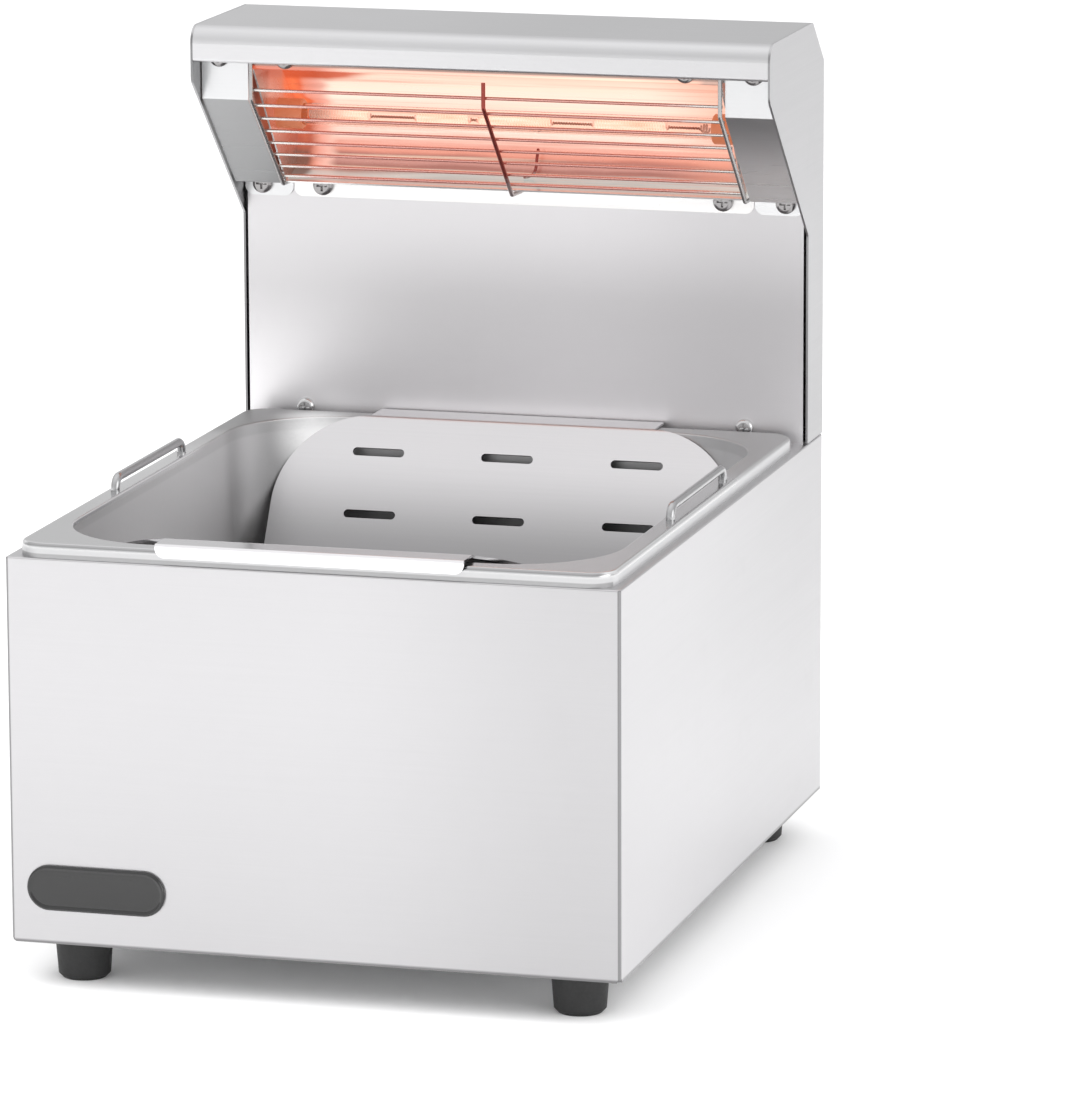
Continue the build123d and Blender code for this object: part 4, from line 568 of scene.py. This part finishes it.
def wire(name, pts, radius, mat, sides=10):
    """A closed round wire swept along points, with domed ends."""
    pts = [Vector(p_) for p_ in pts]
    n_ = len(pts)
    verts, faces = [], []
    up = None
    rings = []
    for i in range(n_):
        d = (pts[min(i + 1, n_ - 1)] - pts[max(i - 1, 0)]).normalized()
        if up is None:
            up = d.orthogonal().normalized()
        up = (up - d * up.dot(d)).normalized()
        side = d.cross(up)
        radii = [radius]
        centres = [pts[i]]
        if i == 0:
            radii, centres = [radius * 0.6, radius], [pts[i] - d * radius * 0.55, pts[i]]
        elif i == n_ - 1:
            radii, centres = [radius, radius * 0.6], [pts[i], pts[i] + d * radius * 0.55]
        for r_, c_ in zip(radii, centres):
            rings.append(len(verts))
            for k in range(sides):
                t_ = 2 * math.pi * k / sides
                verts.append(c_ + up * (r_ * math.cos(t_)) + side * (r_ * math.sin(t_)))
    for a_, b_ in zip(rings, rings[1:]):
        for k in range(sides):
            k2 = (k + 1) % sides
            faces.append((a_ + k, a_ + k2, b_ + k2, b_ + k))
    faces.append(tuple(reversed(range(rings[0], rings[0] + sides))))
    faces.append(tuple(range(rings[-1], rings[-1] + sides)))
    return add_mesh(name, verts, faces, mat)


# Heater element: the wound coil inside the quartz tube.
coil_pts = []
turns, steps = 150, 12
for i in range(turns * steps + 1):
    t_ = i / steps
    x_ = -95.5 + 191.0 * t_ / turns
    gap = max([min((x_ / 1000.0 - lo) / 0.002, (hi - x_ / 1000.0) / 0.002, 1.0)
               for lo, hi in DEAD if lo < x_ / 1000.0 < hi] or [0.0])
    r_ = 1.85 * (1.0 - 0.86 * gap)
    coil_pts.append(P(x_, 308 + r_ * math.cos(2 * math.pi * t_), 319.5 + r_ * math.sin(2 * math.pi * t_)))
coil = wire("heater_coil", coil_pts, 0.00046, M["filament"], sides=6)
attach(coil, "base")
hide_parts("heater_filament")

# Spring hook that holds the middle stay to the back of the reflector.
hook_pts = []
ctrl = [(8.2, 330.6, 303.5), (7.6, 330.5, 299.3), (7.4, 330.5, 296.5), (6.9, 330.4, 293.6), (5.7, 330.2, 291.6), (3.6, 329.8, 290.6), (1.8, 329.2, 290.4)]
for a_, b_ in zip(ctrl, ctrl[1:]):
    for k in range(6):
        hook_pts.append(P(*[u + (w - u) * k / 6 for u, w in zip(a_, b_)]))
hook_pts.append(P(*ctrl[-1]))
for _ in range(3):
    hook_pts = [hook_pts[0]] + [(hook_pts[i - 1] + hook_pts[i] * 2 + hook_pts[i + 1]) / 4 for i in range(1, len(hook_pts) - 1)] + [hook_pts[-1]]
stay_hook = wire("stay_hook", hook_pts, 0.0007, M["stay"], sides=12)
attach(stay_hook, "base")

# Badge: a bare glossy pill with a rolled edge and a shallow domed face.
bw = [nodes["badge"].matrix_world @ v.co for v in nodes["badge"].data.vertices]
bx0, bx1 = min(v.x for v in bw), max(v.x for v in bw)
by0, by1 = min(v.y for v in bw), max(v.y for v in bw)
bz0, bz1 = min(v.z for v in bw), max(v.z for v in bw)
half_h, cxm, czm, thick = (bz1 - bz0) / 2, (bx0 + bx1) / 2, (bz0 + bz1) / 2, by1 - by0
half_l = (bx1 - bx0) / 2 - half_h
rings_ = [(0.0, 0.0), (0.0, 0.50), (0.00018, 0.74), (0.0005, 0.92), (0.0009, 1.0), (0.0013, 0.97), (0.0017, 0.80), (0.0021, 0.70), (0.0026, 0.68),
          (0.0040, 0.78), (0.0060, 0.87), (0.0085, 0.93), (0.0110, 0.955)]
rings_ = [r for r in rings_ if r[0] < half_h - 0.0004]
seg = 40
outline = []
for k in range(seg + 1):
    t_ = -math.pi / 2 + math.pi * k / seg
    outline.append((half_l, 0.0, math.cos(t_), math.sin(t_)))
for k in range(seg + 1):
    t_ = math.pi / 2 + math.pi * k / seg
    outline.append((-half_l, 0.0, math.cos(t_), math.sin(t_)))
verts, faces = [], []
for inset, up_ in rings_:
    for ox, oz, dx_, dz_ in outline:
        verts.append((cxm + ox + dx_ * (half_h - inset), by1 - thick * up_, czm + oz + dz_ * (half_h - inset)))
m_ = len(outline)
for r in range(len(rings_) - 1):
    for k in range(m_):
        k2 = (k + 1) % m_
        faces.append((r * m_ + k, r * m_ + k2, (r + 1) * m_ + k2, (r + 1) * m_ + k))
last = (len(rings_) - 1) * m_
faces.append(tuple(last + k for k in range(m_)))
faces.append(tuple(reversed(range(m_))))
badge = add_mesh("badge_face", verts, faces, M["badge"])
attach(badge, "base")
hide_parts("badge")

# ---------------------------------------------------------------------------
# Stage: pale floor, soft light
# ---------------------------------------------------------------------------
bm = bmesh.new()
verts = [bm.verts.new((x, y, 0)) for x, y in ((-30, -30), (30, -30), (30, 30), (-30, 30))]
bm.faces.new(verts)
me = bpy.data.meshes.new("floor")
bm.to_mesh(me)
bm.free()
floor = bpy.data.objects.new("floor", me)
bpy.context.scene.collection.objects.link(floor)
n = Nodes("floor")
n.set(Roughness=0.9)
c = n.noise(scale=(3, 3, 3), detail=2.0)
n.to(n.ramp(c, [(0.3, (0.90, 0.90, 0.90)), (0.7, (0.92, 0.92, 0.92))]), "Base Color")
n.bsdf.inputs["Specular IOR Level"].default_value = 0.0
n.set(Emission_Color=(1.0, 1.0, 1.0, 1), Emission_Strength=0.03)
floor.data.materials.append(n.mat)

world = bpy.data.worlds.new("studio")
bpy.context.scene.world = world
world.use_nodes = True
wt = world.node_tree
wt.nodes.clear()
wo = wt.nodes.new("ShaderNodeOutputWorld")
bg = wt.nodes.new("ShaderNodeBackground")
tc = wt.nodes.new("ShaderNodeTexCoord")
sep = wt.nodes.new("ShaderNodeSeparateXYZ")
ramp = wt.nodes.new("ShaderNodeValToRGB")
sky = [(0.0, 0.78), (0.10, 0.74), (0.18, 0.66), (0.26, 0.70), (0.45, 0.92), (0.72, 1.04), (0.86, 1.18), (1.0, 1.35)]
while len(ramp.color_ramp.elements) > 1:
    ramp.color_ramp.elements.remove(ramp.color_ramp.elements[-1])
for i, (p_, v_) in enumerate(sky):
    e = ramp.color_ramp.elements[0] if i == 0 else ramp.color_ramp.elements.new(p_)
    e.position = p_
    e.color = (v_ * 0.5, v_ * 0.5, v_ * 0.503, 1)
lean = wt.nodes.new("ShaderNodeMapRange")          # a little brighter towards the left
lean.inputs["From Min"].default_value = -1.0
lean.inputs["From Max"].default_value = 1.0
lean.inputs["To Min"].default_value = 2.25
lean.inputs["To Max"].default_value = 1.66
wt.links.new(tc.outputs["Generated"], sep.inputs[0])
wt.links.new(sep.outputs[2], ramp.inputs["Fac"])
wt.links.new(sep.outputs[0], lean.inputs["Value"])
wt.links.new(ramp.outputs["Color"], bg.inputs["Color"])


def world_range(source, lo, hi, a, b):
    r = wt.nodes.new("ShaderNodeMapRange")
    r.interpolation_type = "SMOOTHSTEP"
    r.inputs["From Min"].default_value = lo
    r.inputs["From Max"].default_value = hi
    r.inputs["To Min"].default_value = a
    r.inputs["To Max"].default_value = b
    wt.links.new(source, r.inputs["Value"])
    return r.outputs["Result"]


def world_math(op, a, b):
    m = wt.nodes.new("ShaderNodeMath")
    m.operation = op
    for i, v_ in enumerate((a, b)):
        if isinstance(v_, (int, float)):
            m.inputs[i].default_value = v_
        else:
            wt.links.new(v_, m.inputs[i])
    return m.outputs[0]


# A low white wall in front and on the right, as in a light tent.
near = world_math("MAXIMUM", world_range(sep.outputs[1], -0.25, -0.70, 0.0, 1.0), world_range(sep.outputs[0], 0.30, 0.75, 0.0, 1.0))
wall = world_math("MULTIPLY", near, world_range(sep.outputs[2], 0.46, 0.16, 0.0, 0.42))
strength = world_math("MULTIPLY", lean.outputs["Result"], world_math("ADD", wall, 1.0))
wt.links.new(strength, bg.inputs["Strength"])
dotn = wt.nodes.new("ShaderNodeVectorMath")
dotn.operation = "DOT_PRODUCT"
dotn.inputs[1].default_value = Vector((0.93, -0.28, 0.24)).normalized()
wt.links.new(tc.outputs["Generated"], dotn.inputs[0])
soft = wt.nodes.new("ShaderNodeMapRange")           # soft box on the right
soft.interpolation_type = "SMOOTHSTEP"
soft.inputs["From Min"].default_value = 0.86
soft.inputs["From Max"].default_value = 0.97
soft.inputs["To Min"].default_value = 0.0
soft.inputs["To Max"].default_value = 1.8
wt.links.new(dotn.outputs["Value"], soft.inputs["Value"])
bg2 = wt.nodes.new("ShaderNodeBackground")
wt.links.new(soft.outputs["Result"], bg2.inputs["Strength"])
add_ = wt.nodes.new("ShaderNodeAddShader")
wt.links.new(bg.outputs[0], add_.inputs[0])
wt.links.new(bg2.outputs[0], add_.inputs[1])
wt.links.new(add_.outputs[0], wo.inputs["Surface"])


def area(name, loc, target, size, power, colour=(1, 1, 1)):
    d = bpy.data.lights.new(name, "AREA")
    d.shape = "RECTANGLE"
    d.size, d.size_y = size
    d.energy = power
    d.color = colour
    o = bpy.data.objects.new(name, d)
    bpy.context.scene.collection.objects.link(o)
    o.location = loc
    o.rotation_euler = (Vector(target) - Vector(loc)).to_track_quat("-Z", "Y").to_euler()
    return o


# The floor is lit by two big soft sources that the steel itself doesn't mirror.
for o in (area("key", (-2.2, -0.6, 2.8), (0, 0, 0.1), (2.4, 2.4), 34),
          area("front_wash", (-1.2, -2.4, 2.2), (-0.6, -1.2, 0.0), (1.6, 1.6), 22),
          area("fill", (2.2, -1.0, 2.4), (0.3, -0.1, 0.0), (2.4, 2.4), 42)):
    o.visible_glossy = False
